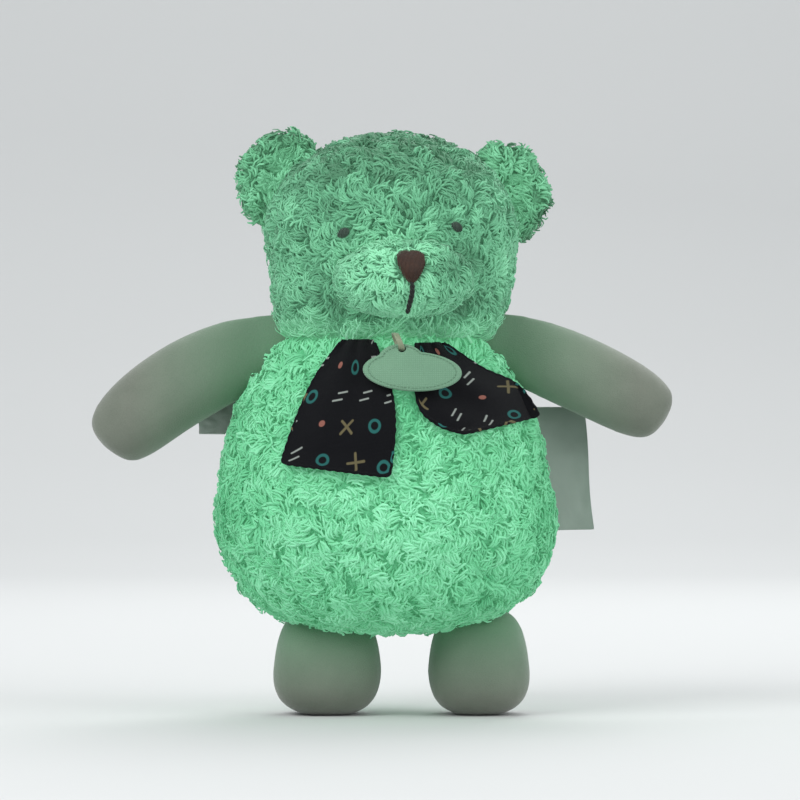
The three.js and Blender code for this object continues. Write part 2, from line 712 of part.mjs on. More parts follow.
function scarfKnot() {
  const form = new THREE.SphereGeometry(1, knot.around, knot.rings);
  form.scale(knot.width / 2, knot.depth / 2, knot.height / 2);
  form.translate(knot.x, bodyFront(knot.x, knot.z) - knot.depth / 4, knot.z);
  return cutBy(form, bodyForm(gap));
}

// The tag is built upright around its hole, then tilted and leaned as one with its ribbon
const tagHoleRise = tag.height / 2 + tag.lobeRise - tagHole - ribbon.thickness;
const tagHoleSide = -tag.lobe / 4;

function tagPlaced(geometry) {
  geometry.translate(-tagHoleSide, 0, -tagHoleRise);
  geometry.rotateY(radians(-tag.tilt));
  geometry.rotateX(radians(-tag.lean));
  const y = bodyFront(tag.x, tag.z) - scarf.lift - scarf.ripple - scarf.thickness - tag.proud;
  const rise = tagHoleRise * Math.cos(radians(tag.lean));
  const back = tagHoleRise * Math.sin(radians(tag.lean));
  return geometry.translate(tag.x + tagHoleSide, y + back, tag.z + rise);
}

function tagPiece() {
  const ovalShape = new THREE.Shape();
  ovalShape.absellipse(0, 0, tag.width / 2, tag.height / 2, 0, fullTurn);
  const lobeShape = new THREE.Shape();
  const lobeHeight = tag.height / 4 + tag.lobeRise;
  lobeShape.absellipse(tagHoleSide, tag.height / 4, tag.lobe / 2, lobeHeight, 0, fullTurn);
  const hole = rod(tagHole, tag.thickness + 2 * overrun, facets.fine);
  hole.translate(tagHoleSide, tagHoleRise, -overrun);
  const piece = cutBy(united(plateOf(ovalShape, tag.thickness), plateOf(lobeShape, tag.thickness)), hole);
  return tagPlaced(pointing.front(piece).translate(0, tag.thickness / 2, 0));
}

function tagRibbon() {
  const outer = ribbon.loop / 2 + ribbon.thickness;
  const loop = pointing.right(tubePiece(outer, ribbon.loop / 2, ribbon.width, facets.loop));
  const above = tagHoleRise + (ribbon.loop + ribbon.thickness) / 2;
  return tagPlaced(loop.translate(tagHoleSide - ribbon.width / 2, 0, above));
}

// A doubled satin strip that is sewn in the side seam and stands out from it
function sewnLabel(label, side) {
  const grid = [];
  for (let row = 0; row <= labelGrid.rows; row += 1) {
    const z = label.z + label.height * (row / labelGrid.rows - 1 / 2);
    const line = [];
    for (let column = 0; column <= labelGrid.columns; column += 1) {
      const across = column / labelGrid.columns;
      const lean = Math.tan(radians(label.lean)) * (z - label.z) * across;
      const x = side * (bodyHalfWidth(z) + gap + across * label.out - lean);
      const wave = (label.fold / 2) * Math.sin(across * halfTurn);
      line.push([x, label.y + across * label.back + wave, z]);
    }
    grid.push(side > 0 ? line : line.reverse());
  }
  return cutBy(clothSlab(grid, label.thickness), bodyForm(gap));
}

function addDress() {
  const tails = { left: scarfTail(tailOutlines.left), right: scarfTail(tailOutlines.right) };
  addPiece(bear, 'scarf_band', scarfBand(), finishes.scarf);
  addPiece(bear, 'scarf_tail_left', tails.left, finishes.scarf);
  addPiece(bear, 'scarf_tail_right', tails.right, finishes.scarf);
  addPiece(bear, 'scarf_knot', scarfKnot(), finishes.scarf);
  addPiece(bear, 'tag', tagPiece(), finishes.tag);
  addPiece(bear, 'tag_ribbon', tagRibbon(), finishes.satin);
  addPiece(bear, 'side_label', sewnLabel(sideLabel, 1), finishes.satin);
  addPiece(bear, 'care_label', sewnLabel(careLabel, -1), finishes.satin);
}

// The musical movement. Its places are measured from the winding arbor: across to the right,
// up, and forward from the base plate's front face.

function fromArbor(geometry, across, y, up) {
  return geometry.translate(arbor.x + across, y, arbor.z + up);
}

function atArbor(geometry) {
  return fromArbor(geometry, 0, 0, 0);
}

const plateBack = caseBox.back - caseBox.wall - plate.standoff;
const plateFront = plateBack - plate.thickness;
const barrelBack = plateFront - turningGap;
const barrelTop = barrelBack - barrel.height;
const crownPitchRadius = (crown.teeth * crown.module) / 2;
const pinionPitchRadius = (pinion.teeth * crown.module) / 2;
const crownRoot = barrelBack - barrel.floor;
const cylinderY = crownRoot - crown.rise / 2 - pinionPitchRadius - crown.backlash;
const wheelPitchRadius = (greatWheel.teeth * greatWheel.module) / 2;
const idlerPitchRadius = (idlerPinion.teeth * greatWheel.module) / 2;
const idlerUp = wheelPitchRadius + idlerPitchRadius + greatWheel.backlash;
const wormWheelPitchRadius = (wormWheel.teeth * wormWheel.module) / 2;
const wormUp = idlerUp + wormWheelPitchRadius + worm.pitchRadius + worm.backlash;
const wormLead = Math.PI * wormWheel.module * worm.starts;
const leftUpright = crownPitchRadius + crown.faceWidth / 2 + gap;
const wheelStart = drum.start + drum.length + turningGap;
const rightUpright = wheelStart + greatWheel.width + turningGap;
const axleEnd = turningGap + greatWheel.width + turningGap + upright.thickness;
const axleStart = leftUpright - pinion.width - gap - drum.start;
const idlerStart = wormWheel.x - wormWheel.width / 2 - gap - upright.thickness - gap;
const fanFront = caseFront + caseBox.wall + fan.standoff;
const bracketFront = fanFront - gap - bracket.thickness;

const combWidth = comb.tines * comb.pitch + 2 * comb.margin;
const combMiddle = drum.start + drum.length / 2;
const combTip = drum.radius + drum.pinHeight + combTipGap;
const combEnd = combTip + comb.tineLength + comb.longest + comb.root;
const combPadY = cylinderY + comb.thickness / 2 + gap;
const combFace = cylinderY - comb.thickness / 2 - gap;
const combScrewUp = -combEnd + comb.root / 2;
const combScrewSpots = [combMiddle - combWidth * comb.screwShare, combMiddle + combWidth * comb.screwShare];

const plateScrewSpots = [
  [plateScrew.inset - plate.left, plateScrew.inset - plate.below],
  [plateScrew.upperX, plate.above - plateScrew.inset],
];
const caseScrewSpots = [
  [caseScrew.inset - caseBox.left, caseBox.above - caseScrew.inset],
  [caseBox.right - caseScrew.inset, caseScrew.inset - caseBox.below],
];

// A toothed outline with straight flanks; a tooth's middle lies at the given angle
function toothedShape(teeth, module, turn = 0) {
  const pitchRadius = (teeth * module) / 2;
  const halfPitch = halfTurn / teeth;
  const corners = [
    [rootShare, -rootToothShare], [tipShare, -tipToothShare],
    [tipShare, tipToothShare], [rootShare, rootToothShare],
  ];
  const places = [];
  for (let tooth = 0; tooth < teeth; tooth += 1) {
    const middle = turn + (tooth * fullTurn) / teeth;
    for (const [rise, share] of corners) {
      const radius = pitchRadius + rise * module;
      const angle = middle + share * halfPitch;
      places.push(new THREE.Vector2(radius * Math.cos(angle), radius * Math.sin(angle)));
    }
  }
  return new THREE.Shape(places);
}

function bored(shape, radius) {
  const hole = new THREE.Path();
  hole.absarc(0, 0, radius, 0, fullTurn, true);
  shape.holes.push(hole);
  return shape;
}

function gear(teeth, module, width, bore, turn) {
  const options = { depth: width, bevelEnabled: false, curveSegments: curveSteps.gear };
  return new THREE.ExtrudeGeometry(bored(toothedShape(teeth, module, turn), bore), options);
}

// Twists a piece about Z, a full turn for each lead of height
function twisted(geometry, lead, level) {
  const position = geometry.getAttribute('position');
  for (let i = 0; i < position.count; i += 1) {
    const turn = (fullTurn * (position.getZ(i) - level)) / lead;
    const x = position.getX(i);
    const y = position.getY(i);
    position.setX(i, x * Math.cos(turn) - y * Math.sin(turn));
    position.setY(i, x * Math.sin(turn) + y * Math.cos(turn));
  }
  return geometry;
}

function windingArbor() {
  const length = keyY + key.proud + key.socket - barrelTop + barrel.capHeight + gap;
  const shaft = rod(arbor.radius, length, facets.screw);
  return fromArbor(pointing.back(shaft), 0, barrelTop - barrel.capHeight - gap, 0);
}

// The butterfly key: a hub with a blind socket and two rounded wings
function keyPiece() {
  const hub = turned([
    [0, key.socket], [arbor.radius + gap, key.socket], [arbor.radius + gap, 0], [key.hub, 0],
    [key.hub, key.socket], [key.waist, key.height - key.waist], [0, key.height - key.waist / 2],
  ], facets.rod);
  const wings = new THREE.Shape();
  const half = key.width / 2;
  const low = key.socket * keyWing.lowShare;
  const middle = (low + key.height) / 2;
  const crest = key.height * keyWing.crestShare;
  const under = half * keyWing.underShare;
  const over = half * keyWing.overShare;
  wings.moveTo(0, low);
  wings.bezierCurveTo(under, low, half, low, half, middle);
  wings.bezierCurveTo(half, key.height, over, crest, 0, key.height * keyWing.dipShare);
  wings.bezierCurveTo(-over, crest, -half, key.height, -half, middle);
  wings.bezierCurveTo(-half, low, -under, low, 0, low);
  const wingPlate = plateOf(wings, key.thickness).translate(0, 0, -key.thickness / 2);
  wingPlate.rotateX(quarterTurn);
  const socket = rod(arbor.radius + gap, key.socket + overrun, facets.screw).translate(0, 0, -overrun);
  const solid = cutBy(united(hub, wingPlate), socket);
  return fromArbor(pointing.back(solid), 0, keyY + key.proud, 0);
}

// The wrap spring grips the arbor one way, in place of a ratchet
function clutchSpring() {
  const radius = arbor.radius + clutch.clearance + clutch.wire / 2;
  const count = clutch.turns * clutch.steps;
  const places = [];
  for (let i = 0; i <= count; i += 1) {
    const angle = (fullTurn * i) / clutch.steps;
    places.push(new THREE.Vector3(
      radius * Math.cos(angle), radius * Math.sin(angle), (clutch.pitch * i) / clutch.steps,
    ));
  }
  const lead = places[1].clone().sub(places[0]).setLength(clutch.wire);
  const trail = places[count].clone().sub(places[count - 1]).setLength(clutch.wire);
  places.unshift(places[0].clone().sub(lead));
  places.push(places[count + 1].clone().add(trail));
  const corners = [];
  for (let side = 0; side < clutch.sides; side += 1) {
    const angle = (fullTurn * side) / clutch.sides;
    corners.push(new THREE.Vector2((clutch.wire / 2) * Math.cos(angle), (clutch.wire / 2) * Math.sin(angle)));
  }
  const leastGap = clutch.pitch - clutch.wire;
  console.log(`clutch spring: least gap between turns ${leastGap.toFixed(2)} mm`);
  const path = new THREE.CatmullRomCurve3(places);
  const options = { extrudePath: path, steps: count + 2 };
  const geometry = new THREE.ExtrudeGeometry(new THREE.Shape(corners), options);
  return fromArbor(pointing.back(geometry), 0, caseBox.back + clutch.pitch, 0);
}

// The barrel with its crown ring, whose teeth stand on the floor's rim
function springBarrel() {
  const outer = crownPitchRadius + crown.faceWidth / 2;
  const inner = crownPitchRadius - crown.faceWidth / 2;
  const inside = barrel.radius - barrel.wall;
  const bore = arbor.radius + turningGap;
  const shell = turned([
    [bore, 0], [outer, 0], [outer, barrel.floor], [barrel.radius, barrel.floor],
    [barrel.radius, barrel.height], [inside, barrel.height], [inside, barrel.floor],
    [bore, barrel.floor], [bore, 0],
  ], facets.barrel);
  const teeth = [];
  for (let tooth = 0; tooth < crown.teeth; tooth += 1) {
    teeth.push(crownTooth(inner, outer, (tooth * fullTurn) / crown.teeth));
  }
  return fromArbor(pointing.front(united(shell, ...teeth)), 0, barrelBack, 0);
}

// One crown tooth: a radial bar that narrows towards its top
function crownTooth(inner, outer, angle) {
  const pitch = (fullTurn * crownPitchRadius) / crown.teeth;
  const foot = (pitch * rootToothShare) / 2;
  const top = (pitch * tipToothShare) / 2;
  const section = new THREE.Shape();
  section.moveTo(-foot, -barrel.floor / 2);
  section.lineTo(foot, -barrel.floor / 2);
  section.lineTo(foot, 0);
  section.lineTo(top, crown.rise);
  section.lineTo(-top, crown.rise);
  section.lineTo(-foot, 0);
  const bar = plateOf(section, outer - inner);
  bar.rotateX(quarterTurn);
  bar.rotateZ(quarterTurn);
  bar.translate(inner, 0, barrel.floor);
  return bar.rotateZ(angle);
}

function barrelCap() {
  const disc = tubePiece(barrel.radius, arbor.radius + turningGap, barrel.capHeight, facets.barrel);
  return fromArbor(pointing.front(disc), 0, barrelTop - gap, 0);
}

// The mainspring is one strip, wound from the arbor out to the barrel's wall
function mainspring() {
  const outerRadius = barrel.radius - barrel.wall - gap - springLeaf.thickness;
  const count = springLeaf.turns * springLeaf.steps;
  const inside = [];
  const outside = [];
  for (let i = 0; i <= count; i += 1) {
    const radius = springLeaf.innerRadius + ((outerRadius - springLeaf.innerRadius) * i) / count;
    const angle = (fullTurn * i) / springLeaf.steps;
    inside.push(new THREE.Vector2(radius * Math.cos(angle), radius * Math.sin(angle)));
    const far = radius + springLeaf.thickness;
    outside.push(new THREE.Vector2(far * Math.cos(angle), far * Math.sin(angle)));
  }
  const shape = new THREE.Shape([...inside, ...outside.reverse()]);
  const height = barrel.height - barrel.floor - 2 * gap;
  return fromArbor(pointing.front(plateOf(shape, height)), 0, crownRoot - gap, 0);
}

// The pinned cylinder with its axle; each pin sounds one tooth of the comb
function pinnedCylinder() {
  const profile = [
    [0, axleStart], [drum.axle, axleStart], [drum.axle, 0], [drum.radius, 0],
    [drum.radius, drum.length], [drum.axle, drum.length],
    [drum.axle, drum.length + axleEnd], [0, drum.length + axleEnd],
  ];
  const pins = [];
  for (let row = 0; row < comb.tines; row += 1) {
    for (let beat = 0; beat < drum.beats; beat += 1) {
      if ((beat * drum.step + row * drum.stride) % drum.sparsity === 0) {
        pins.push(cylinderPin(row, beat));
      }
    }
  }
  const solid = united(turned(profile, facets.drum), ...pins);
  return fromArbor(pointing.right(solid), drum.start, cylinderY, 0);
}

function cylinderPin(row, beat) {
  const bar = rod(drum.pin / 2, 2 * drum.pinHeight, facets.pin);
  bar.translate(0, 0, drum.radius - drum.pinHeight);
  bar.rotateY(quarterTurn);
  bar.rotateZ((fullTurn * (beat + 1 / 2)) / drum.beats);
  return bar.translate(0, 0, tineMiddle(row));
}

// Places along the cylinder's own length
function tineMiddle(row) {
  return drum.length / 2 + (row - (comb.tines - 1) / 2) * comb.pitch;
}

function cylinderPinion() {
  const turn = quarterTurn + halfTurn / pinion.teeth;
  const geometry = gear(pinion.teeth, crown.module, pinion.width, drum.axle + gap, turn);
  return fromArbor(pointing.right(geometry), leftUpright - pinion.width - gap, cylinderY, 0);
}

function cylinderWheel() {
  const geometry = gear(greatWheel.teeth, greatWheel.module, greatWheel.width, drum.axle + gap, 0);
  return fromArbor(pointing.right(geometry), wheelStart, cylinderY, 0);
}

function idlerShaft() {
  const shaft = rod(idlerPinion.axle, rightUpright + upright.thickness - idlerStart, facets.screw);
  const outline = toothedShape(idlerPinion.teeth, greatWheel.module, halfTurn / idlerPinion.teeth);
  const teeth = plateOf(outline, idlerPinion.width);
  teeth.translate(0, 0, wheelStart - (idlerPinion.width - greatWheel.width) / 2 - idlerStart);
  return fromArbor(pointing.right(united(shaft, teeth)), idlerStart, cylinderY, idlerUp);
}

function wormWheelPiece() {
  const geometry = gear(wormWheel.teeth, wormWheel.module, wormWheel.width, idlerPinion.axle + gap, 0);
  return fromArbor(pointing.right(geometry), wormWheel.x - wormWheel.width / 2, cylinderY, idlerUp);
}

// The worm has two starts: its section is an oval with two lobes, twisted as it rises
function governorWorm() {
  const deep = worm.pitchRadius - worm.thread;
  const places = [];
  for (let i = 0; i < worm.sides; i += 1) {
    const angle = (fullTurn * i) / worm.sides;
    const lobe = Math.abs(Math.cos((angle * worm.starts) / 2)) ** worm.sharpness;
    const radius = deep + (worm.pitchRadius + worm.thread - deep) * lobe;
    places.push(new THREE.Vector2(radius * Math.cos(angle), radius * Math.sin(angle)));
  }
  const low = cylinderY - worm.threadedLength / 2;
  const blank = plateOf(new THREE.Shape(places), worm.threadedLength, worm.steps);
  const thread = twisted(blank, wormLead, worm.threadedLength / 2);
  const front = fanFront - worm.pivot;
  const shaft = rod(worm.axle, plateBack - front - worm.pivotShort, facets.fine).translate(0, 0, front - low);
  return fromArbor(pointing.back(united(thread, shaft)), wormWheel.x, low, wormUp);
}

// Two thin blades on a hub catch the air and hold the speed down
function governorFan() {
  const hub = tubePiece(fan.hub, worm.axle + gap, fan.height, facets.screw);
  const blade = block(2 * fan.radius, fan.thickness, fan.height).translate(0, 0, fan.height / 2);
  const bore = rod(worm.axle + gap, fan.height + 2 * overrun, facets.screw).translate(0, 0, -overrun);
  return fromArbor(pointing.back(cutBy(united(hub, blade), bore)), wormWheel.x, fanFront, wormUp);
}

// The bracket stands on the plate and holds the worm's front pivot
function governorBracket() {
  const post = block(bracket.post, plateFront - bracketFront - gap, bracket.width);
  post.translate(bracket.x, (plateFront - gap + bracketFront) / 2, wormUp);
  const reach = wormWheel.x + bracket.overhang - bracket.x;
  const arm = block(reach, bracket.thickness, bracket.width);
  arm.translate(bracket.x + reach / 2, bracketFront + bracket.thickness / 2, wormUp);
  const radius = worm.axle + upright.clearance;
  const through = bracket.thickness + 2 * overrun;
  const hole = backwardRod(radius, [wormWheel.x, bracketFront - overrun, wormUp], through);
  return atArbor(cutBy(united(post, arm), hole));
}

// A bearing cast on the plate, bored along X for one or two axles
function bearing(start, bottom, top) {
  const depth = plateFront - cylinderY + upright.width / 2;
  const wall = block(upright.thickness, depth + plate.thickness / 2, top - bottom);
  const middle = cylinderY - upright.width / 2 + (depth + plate.thickness / 2) / 2;
  return wall.translate(start + upright.thickness / 2, middle, (top + bottom) / 2);
}

function axleBore(radius, up) {
  const length = caseBox.left + caseBox.right;
  return pointing.right(rod(radius + upright.clearance, length, facets.screw)).translate(0, cylinderY, up);
}

function basePlate() {
  const width = plate.left + plate.right;
  const height = plate.below + plate.above;
  const sheet = block(width, plate.thickness, height);
  const across = (plate.right - plate.left) / 2;
  const up = (plate.above - plate.below) / 2;
  sheet.translate(across, (plateFront + plateBack) / 2, up);
  const half = upright.width / 2;
  const pad = block(combWidth, plateFront - combPadY + plate.thickness / 2, comb.padDepth);
  pad.translate(combMiddle, (plateFront + combPadY + plate.thickness / 2) / 2, -combEnd + comb.padDepth / 2);
  const cast = united(
    sheet, pad, bearing(leftUpright + gap, -half, half), bearing(rightUpright, -half, idlerUp + half),
    bearing(idlerStart + gap, idlerUp - half, idlerUp + half),
  );
  const slotReach = wheelPitchRadius + 2 * greatWheel.module;
  const slot = block(greatWheel.width + 2 * turningGap, 3 * plate.thickness, 2 * slotReach);
  slot.translate(wheelStart + greatWheel.width / 2, plateFront + plate.thickness / 2, 0);
  const behind = 3 * plate.thickness;
  const before = plateFront - plate.thickness;
  const through = backwardRod(arbor.radius + turningGap, [0, before, 0], behind, facets.rod);
  const pivot = backwardRod(worm.axle + upright.clearance, [wormWheel.x, before, wormUp], behind);
  const screwHoles = plateScrewSpots.map(([x, z]) => (
    backwardRod(plateScrew.radius + gap, [x, plateFront - overrun, z], plate.thickness + 2 * overrun)
  ));
  const combHoles = combScrewSpots.map((x) => (
    backwardRod(combScrew.radius + gap, [x, combPadY - overrun, combScrewUp], combScrew.length + overrun)
  ));
  const notch = 2 * (caseScrew.column + gap);
  const columns = caseScrewSpots.map(([x, z]) => block(notch, notch, notch).translate(x, plateFront, z));
  const axles = [axleBore(drum.axle, 0), axleBore(idlerPinion.axle, idlerUp)];
  return atArbor(cutBy(cast, slot, through, pivot, ...axles, ...screwHoles, ...combHoles, ...columns));
}

// A rod that starts at a place and runs back along +Y
function backwardRod(radius, [x, y, z], length, sides = facets.screw) {
  return pointing.back(rod(radius, length, sides)).translate(x, y, z);
}

// The comb: one steel plate sawn into tines that grow longer towards the low notes
function combPiece() {
  const shape = new THREE.Shape();
  const left = combMiddle - combWidth / 2;
  const right = combMiddle + combWidth / 2;
  shape.moveTo(left, -combEnd);
  shape.lineTo(right, -combEnd);
  shape.lineTo(right, -combTip - comb.tineLength);
  for (let tine = comb.tines - 1; tine >= 0; tine -= 1) {
    const middle = drum.start + tineMiddle(tine);
    const half = (comb.pitch * (1 - comb.gapShare)) / 2;
    const depth = comb.tineLength + (comb.longest * tine) / (comb.tines - 1);
    shape.lineTo(middle + half, -combTip - depth);
    shape.lineTo(middle + half, -combTip);
    shape.lineTo(middle - half, -combTip);
    shape.lineTo(middle - half, -combTip - depth);
  }
  shape.lineTo(left, -combTip - comb.tineLength);
  for (const x of combScrewSpots) {
    const hole = new THREE.Path();
    hole.absarc(x, combScrewUp, combScrew.radius + gap, 0, fullTurn, true);
    shape.holes.push(hole);
  }
  const sheet = pointing.front(plateOf(shape, comb.thickness));
  return fromArbor(sheet, 0, cylinderY + comb.thickness / 2, 0);
}

// A screw whose head is at the front, with its slot left to the finish
function screw(size, length) {
  return turned([
    [0, -size.headHeight], [size.head, -size.headHeight], [size.head, 0], [size.radius, 0],
    [size.radius, length], [0, length],
  ], facets.screw);
}

// The case: two moulded shells that meet half way, each with its screw columns
function caseBackShell() {
  const shell = cutBy(
    caseSlab(0, caseSplit + gap / 2, caseBox.back),
    caseSlab(-caseBox.wall, caseSplit - overrun, caseBox.back - caseBox.wall),
  );
  const inner = caseBox.back - caseBox.wall / 2;
  const columnStart = caseSplit + gap / 2;
  const tube = backwardRod(boss.radius, [0, inner, 0], keyY - grommet.depth - gap - inner, facets.ring);
  const posts = plateScrewSpots.map(([x, z]) => (
    backwardRod(plate.post, [x, plateBack + gap, z], inner - plateBack - gap)
  ));
  const columns = caseScrewSpots.map(([x, z]) => (
    backwardRod(caseScrew.column, [x, columnStart, z], inner - columnStart)
  ));
  const bore = backwardRod(boss.bore, [0, inner - overrun, 0], body.depth, facets.bore);
  const plateGrip = plateScrew.length - plate.thickness + overrun + gap;
  const plateHoles = plateScrewSpots.map(([x, z]) => (
    backwardRod(plateScrew.radius + gap, [x, plateBack - overrun, z], plateGrip)
  ));
  const caseHoles = caseScrewSpots.map(([x, z]) => (
    backwardRod(caseScrew.radius + gap, [x, caseSplit - overrun, z], caseScrew.grip + overrun + gap)
  ));
  const added = [tube, ...posts, ...columns].map(atArbor);
  const taken = [bore, ...plateHoles, ...caseHoles].map(atArbor);
  return cutBy(united(shell, ...added), ...taken);
}

function caseFrontShell() {
  const shell = cutBy(
    caseSlab(0, caseFront, caseSplit - gap / 2),
    caseSlab(-caseBox.wall, caseFront + caseBox.wall, caseSplit + overrun),
  );
  const inner = caseFront + caseBox.wall / 2;
  const before = caseFront - overrun;
  const columns = caseScrewSpots.map(([x, z]) => (
    backwardRod(caseScrew.column, [x, inner, z], caseSplit - gap / 2 - inner)
  ));
  const bores = caseScrewSpots.map(([x, z]) => (
    backwardRod(caseScrew.radius + gap, [x, before, z], caseBox.depth)
  ));
  const sinks = caseScrewSpots.map(([x, z]) => (
    backwardRod(caseScrew.head + gap, [x, before, z], caseScrew.headHeight + overrun + gap)
  ));
  const taken = [...bores, ...sinks, ...soundSlots()].map(atArbor);
  return cutBy(united(shell, ...columns.map(atArbor)), ...taken);
}

// Slots in the front shell let the tune out
function soundSlots() {
  const slots = [];
  for (let i = 0; i < soundSlot.count; i += 1) {
    const across = combMiddle + (i - (soundSlot.count - 1) / 2) * soundSlot.pitch;
    const slot = block(soundSlot.width, caseBox.wall + 2 * overrun, soundSlot.height);
    slots.push(slot.translate(across, caseFront + caseBox.wall / 2, soundSlot.up));
  }
  return slots;
}

function addMovement() {
  addPiece(bear, 'key', keyPiece(), finishes.keyMetal);
  addPiece(bear, 'winding_arbor', windingArbor(), finishes.steel);
  addPiece(bear, 'clutch_spring', clutchSpring(), finishes.steel);
  addPiece(bear, 'case_back', caseBackShell(), finishes.casePlastic);
  addPiece(bear, 'case_front', caseFrontShell(), finishes.casePlastic);
  addPiece(bear, 'base_plate', basePlate(), finishes.zinc);
  addPiece(bear, 'spring_barrel', springBarrel(), finishes.brass);
  addPiece(bear, 'barrel_cap', barrelCap(), finishes.brass);
  addPiece(bear, 'mainspring', mainspring(), finishes.steel);
  addPiece(bear, 'cylinder', pinnedCylinder(), finishes.brass);
  addPiece(bear, 'cylinder_pinion', cylinderPinion(), finishes.steel);
  addPiece(bear, 'cylinder_wheel', cylinderWheel(), finishes.darkPlastic);
  addPiece(bear, 'idler_shaft', idlerShaft(), finishes.steel);
  addPiece(bear, 'worm_wheel', wormWheelPiece(), finishes.darkPlastic);
  addPiece(bear, 'governor_worm', governorWorm(), finishes.steel);
  addPiece(bear, 'governor_fan', governorFan(), finishes.darkPlastic);
  addPiece(bear, 'governor_bracket', governorBracket(), finishes.brass);
  addPiece(bear, 'comb', combPiece(), finishes.steel);
  combScrewSpots.forEach((x, i) => {
    const piece = pointing.back(screw(combScrew, combScrew.length)).translate(x, combFace, combScrewUp);
    addPiece(bear, `comb_screw_${i + 1}`, atArbor(piece), finishes.steel);
  });
  plateScrewSpots.forEach(([x, z], i) => {
    const piece = pointing.back(screw(plateScrew, plateScrew.length)).translate(x, plateFront - gap, z);
    addPiece(bear, `plate_screw_${i + 1}`, atArbor(piece), finishes.steel);
  });
  caseScrewSpots.forEach(([x, z], i) => {
    const length = caseSplit - caseFront - caseScrew.headHeight + caseScrew.grip - gap;
    const piece = pointing.back(screw(caseScrew, length)).translate(x, caseFront + caseScrew.headHeight, z);
    addPiece(bear, `case_screw_${i + 1}`, atArbor(piece), finishes.steel);
  });
}

addBody();
addMovement();
for (const [name, arm] of Object.entries(arms)) {
  addArm(name, arm);
}
for (const [name, limb] of Object.entries(legs)) {
  addLeg(name, limb);
}
addHead();
addDress();

// The origin is on the ground, half way between the nose and the key
const bounds = new THREE.Box3().setFromObject(bear, true);
bear.position.y = -(bounds.min.y + bounds.max.y) / 2;

export default group;
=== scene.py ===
"""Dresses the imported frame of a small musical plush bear.

The bear stands on two velour feet and looks towards -Y. Every length is in metres.
"""

import logging
import math
from collections.abc import Callable, Sequence
from dataclasses import dataclass, field
from enum import Enum

import bpy
import numpy as np
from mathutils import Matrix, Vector, noise
from mathutils.bvhtree import BVHTree
from mathutils.kdtree import KDTree


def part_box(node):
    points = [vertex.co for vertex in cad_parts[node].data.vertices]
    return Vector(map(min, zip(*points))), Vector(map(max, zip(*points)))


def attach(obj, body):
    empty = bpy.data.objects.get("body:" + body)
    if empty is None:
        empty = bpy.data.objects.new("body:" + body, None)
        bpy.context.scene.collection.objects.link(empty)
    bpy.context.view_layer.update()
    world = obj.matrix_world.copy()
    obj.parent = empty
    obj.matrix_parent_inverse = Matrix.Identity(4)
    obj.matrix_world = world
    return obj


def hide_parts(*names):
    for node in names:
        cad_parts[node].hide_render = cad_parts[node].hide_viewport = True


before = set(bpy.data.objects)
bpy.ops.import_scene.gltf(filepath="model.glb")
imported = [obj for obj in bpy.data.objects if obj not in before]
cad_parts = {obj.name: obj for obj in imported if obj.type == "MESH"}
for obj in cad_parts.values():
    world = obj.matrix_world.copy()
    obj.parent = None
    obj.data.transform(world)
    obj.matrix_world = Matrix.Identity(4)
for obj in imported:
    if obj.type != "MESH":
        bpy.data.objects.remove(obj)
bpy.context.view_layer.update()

log = logging.getLogger("bear")

MM = 0.001
FULL_TURN = 2 * math.pi
SOFT_ANGLE = 80.0
CLOTH_FRAMES = 20
STUFFING_PRESSURE = 4.0
SWIRL_SEED = 11

Colour = tuple[float, float, float]
Place = tuple[float, float, float]
Outline = tuple[tuple[float, float], ...]
Piece = bpy.types.Object
Material = bpy.types.Material
Socket = bpy.types.NodeSocket
Points = np.ndarray
Growth = Callable[[Points, Points], np.ndarray]
Laying = Callable[[float, float], Place]


# Modelling helpers


def deselect() -> None:
    """Leaves edit mode and clears the selection."""
    if bpy.context.object and bpy.context.object.mode != "OBJECT":
        bpy.ops.object.mode_set(mode="OBJECT")
    bpy.ops.object.select_all(action="DESELECT")


def activate(piece: Piece) -> Piece:
    """Makes one piece the only selected and the active one, and gives it back."""
    deselect()
    piece.select_set(True)
    bpy.context.view_layer.objects.active = piece
    return piece


def settle(piece: Piece, name: str) -> Piece:
    """Puts a piece's place into its mesh and names it.

    Args:
        piece: The finished object.
        name: The piece's name.

    Returns:
        The same object.
    """
    activate(piece)
    bpy.ops.object.transform_apply(location=True, rotation=True, scale=True)
    piece.name = name
    piece.data.name = name
    return piece


def apply_all(piece: Piece) -> Piece:
    """Applies every modifier of a piece in order, and gives it back."""
    activate(piece)
    for modifier in list(piece.modifiers):
        bpy.ops.object.modifier_apply(modifier=modifier.name)
    return piece


def smooth(piece: Piece, angle: float = SOFT_ANGLE) -> Piece:
    """Shades a piece smooth, apart from edges past an angle in degrees, and gives it back."""
    activate(piece)
    bpy.ops.object.shade_smooth_by_angle(angle=math.radians(angle))
    return piece


def faces_outwards(piece: Piece) -> Piece:
    """Merges doubles and turns every face outwards.

    Args:
        piece: The object to clean.

    Returns:
        The same object.
    """
    activate(piece)
    bpy.ops.object.mode_set(mode="EDIT")
    bpy.ops.mesh.select_all(action="SELECT")
    bpy.ops.mesh.remove_doubles(threshold=1e-6)
    bpy.ops.mesh.normals_make_consistent(inside=False)
    bpy.ops.object.mode_set(mode="OBJECT")
    return piece


def rounded(piece: Piece) -> Piece:
    """Applies a piece's modifiers and one level of subdivision, and gives it back."""
    finer = piece.modifiers.new("Smooth", "SUBSURF")
    finer.levels = finer.render_levels = 1
    return apply_all(piece)


def joined(name: str, parts: Sequence[Piece]) -> Piece:
    """Joins parts into one smooth piece.

    Args:
        name: The piece's name.
        parts: The objects to join.

    Returns:
        The joined object.
    """
    activate(parts[0])
    for part in parts[1:]:
        part.select_set(True)
    bpy.ops.object.join()
    return smooth(settle(bpy.context.object, name))


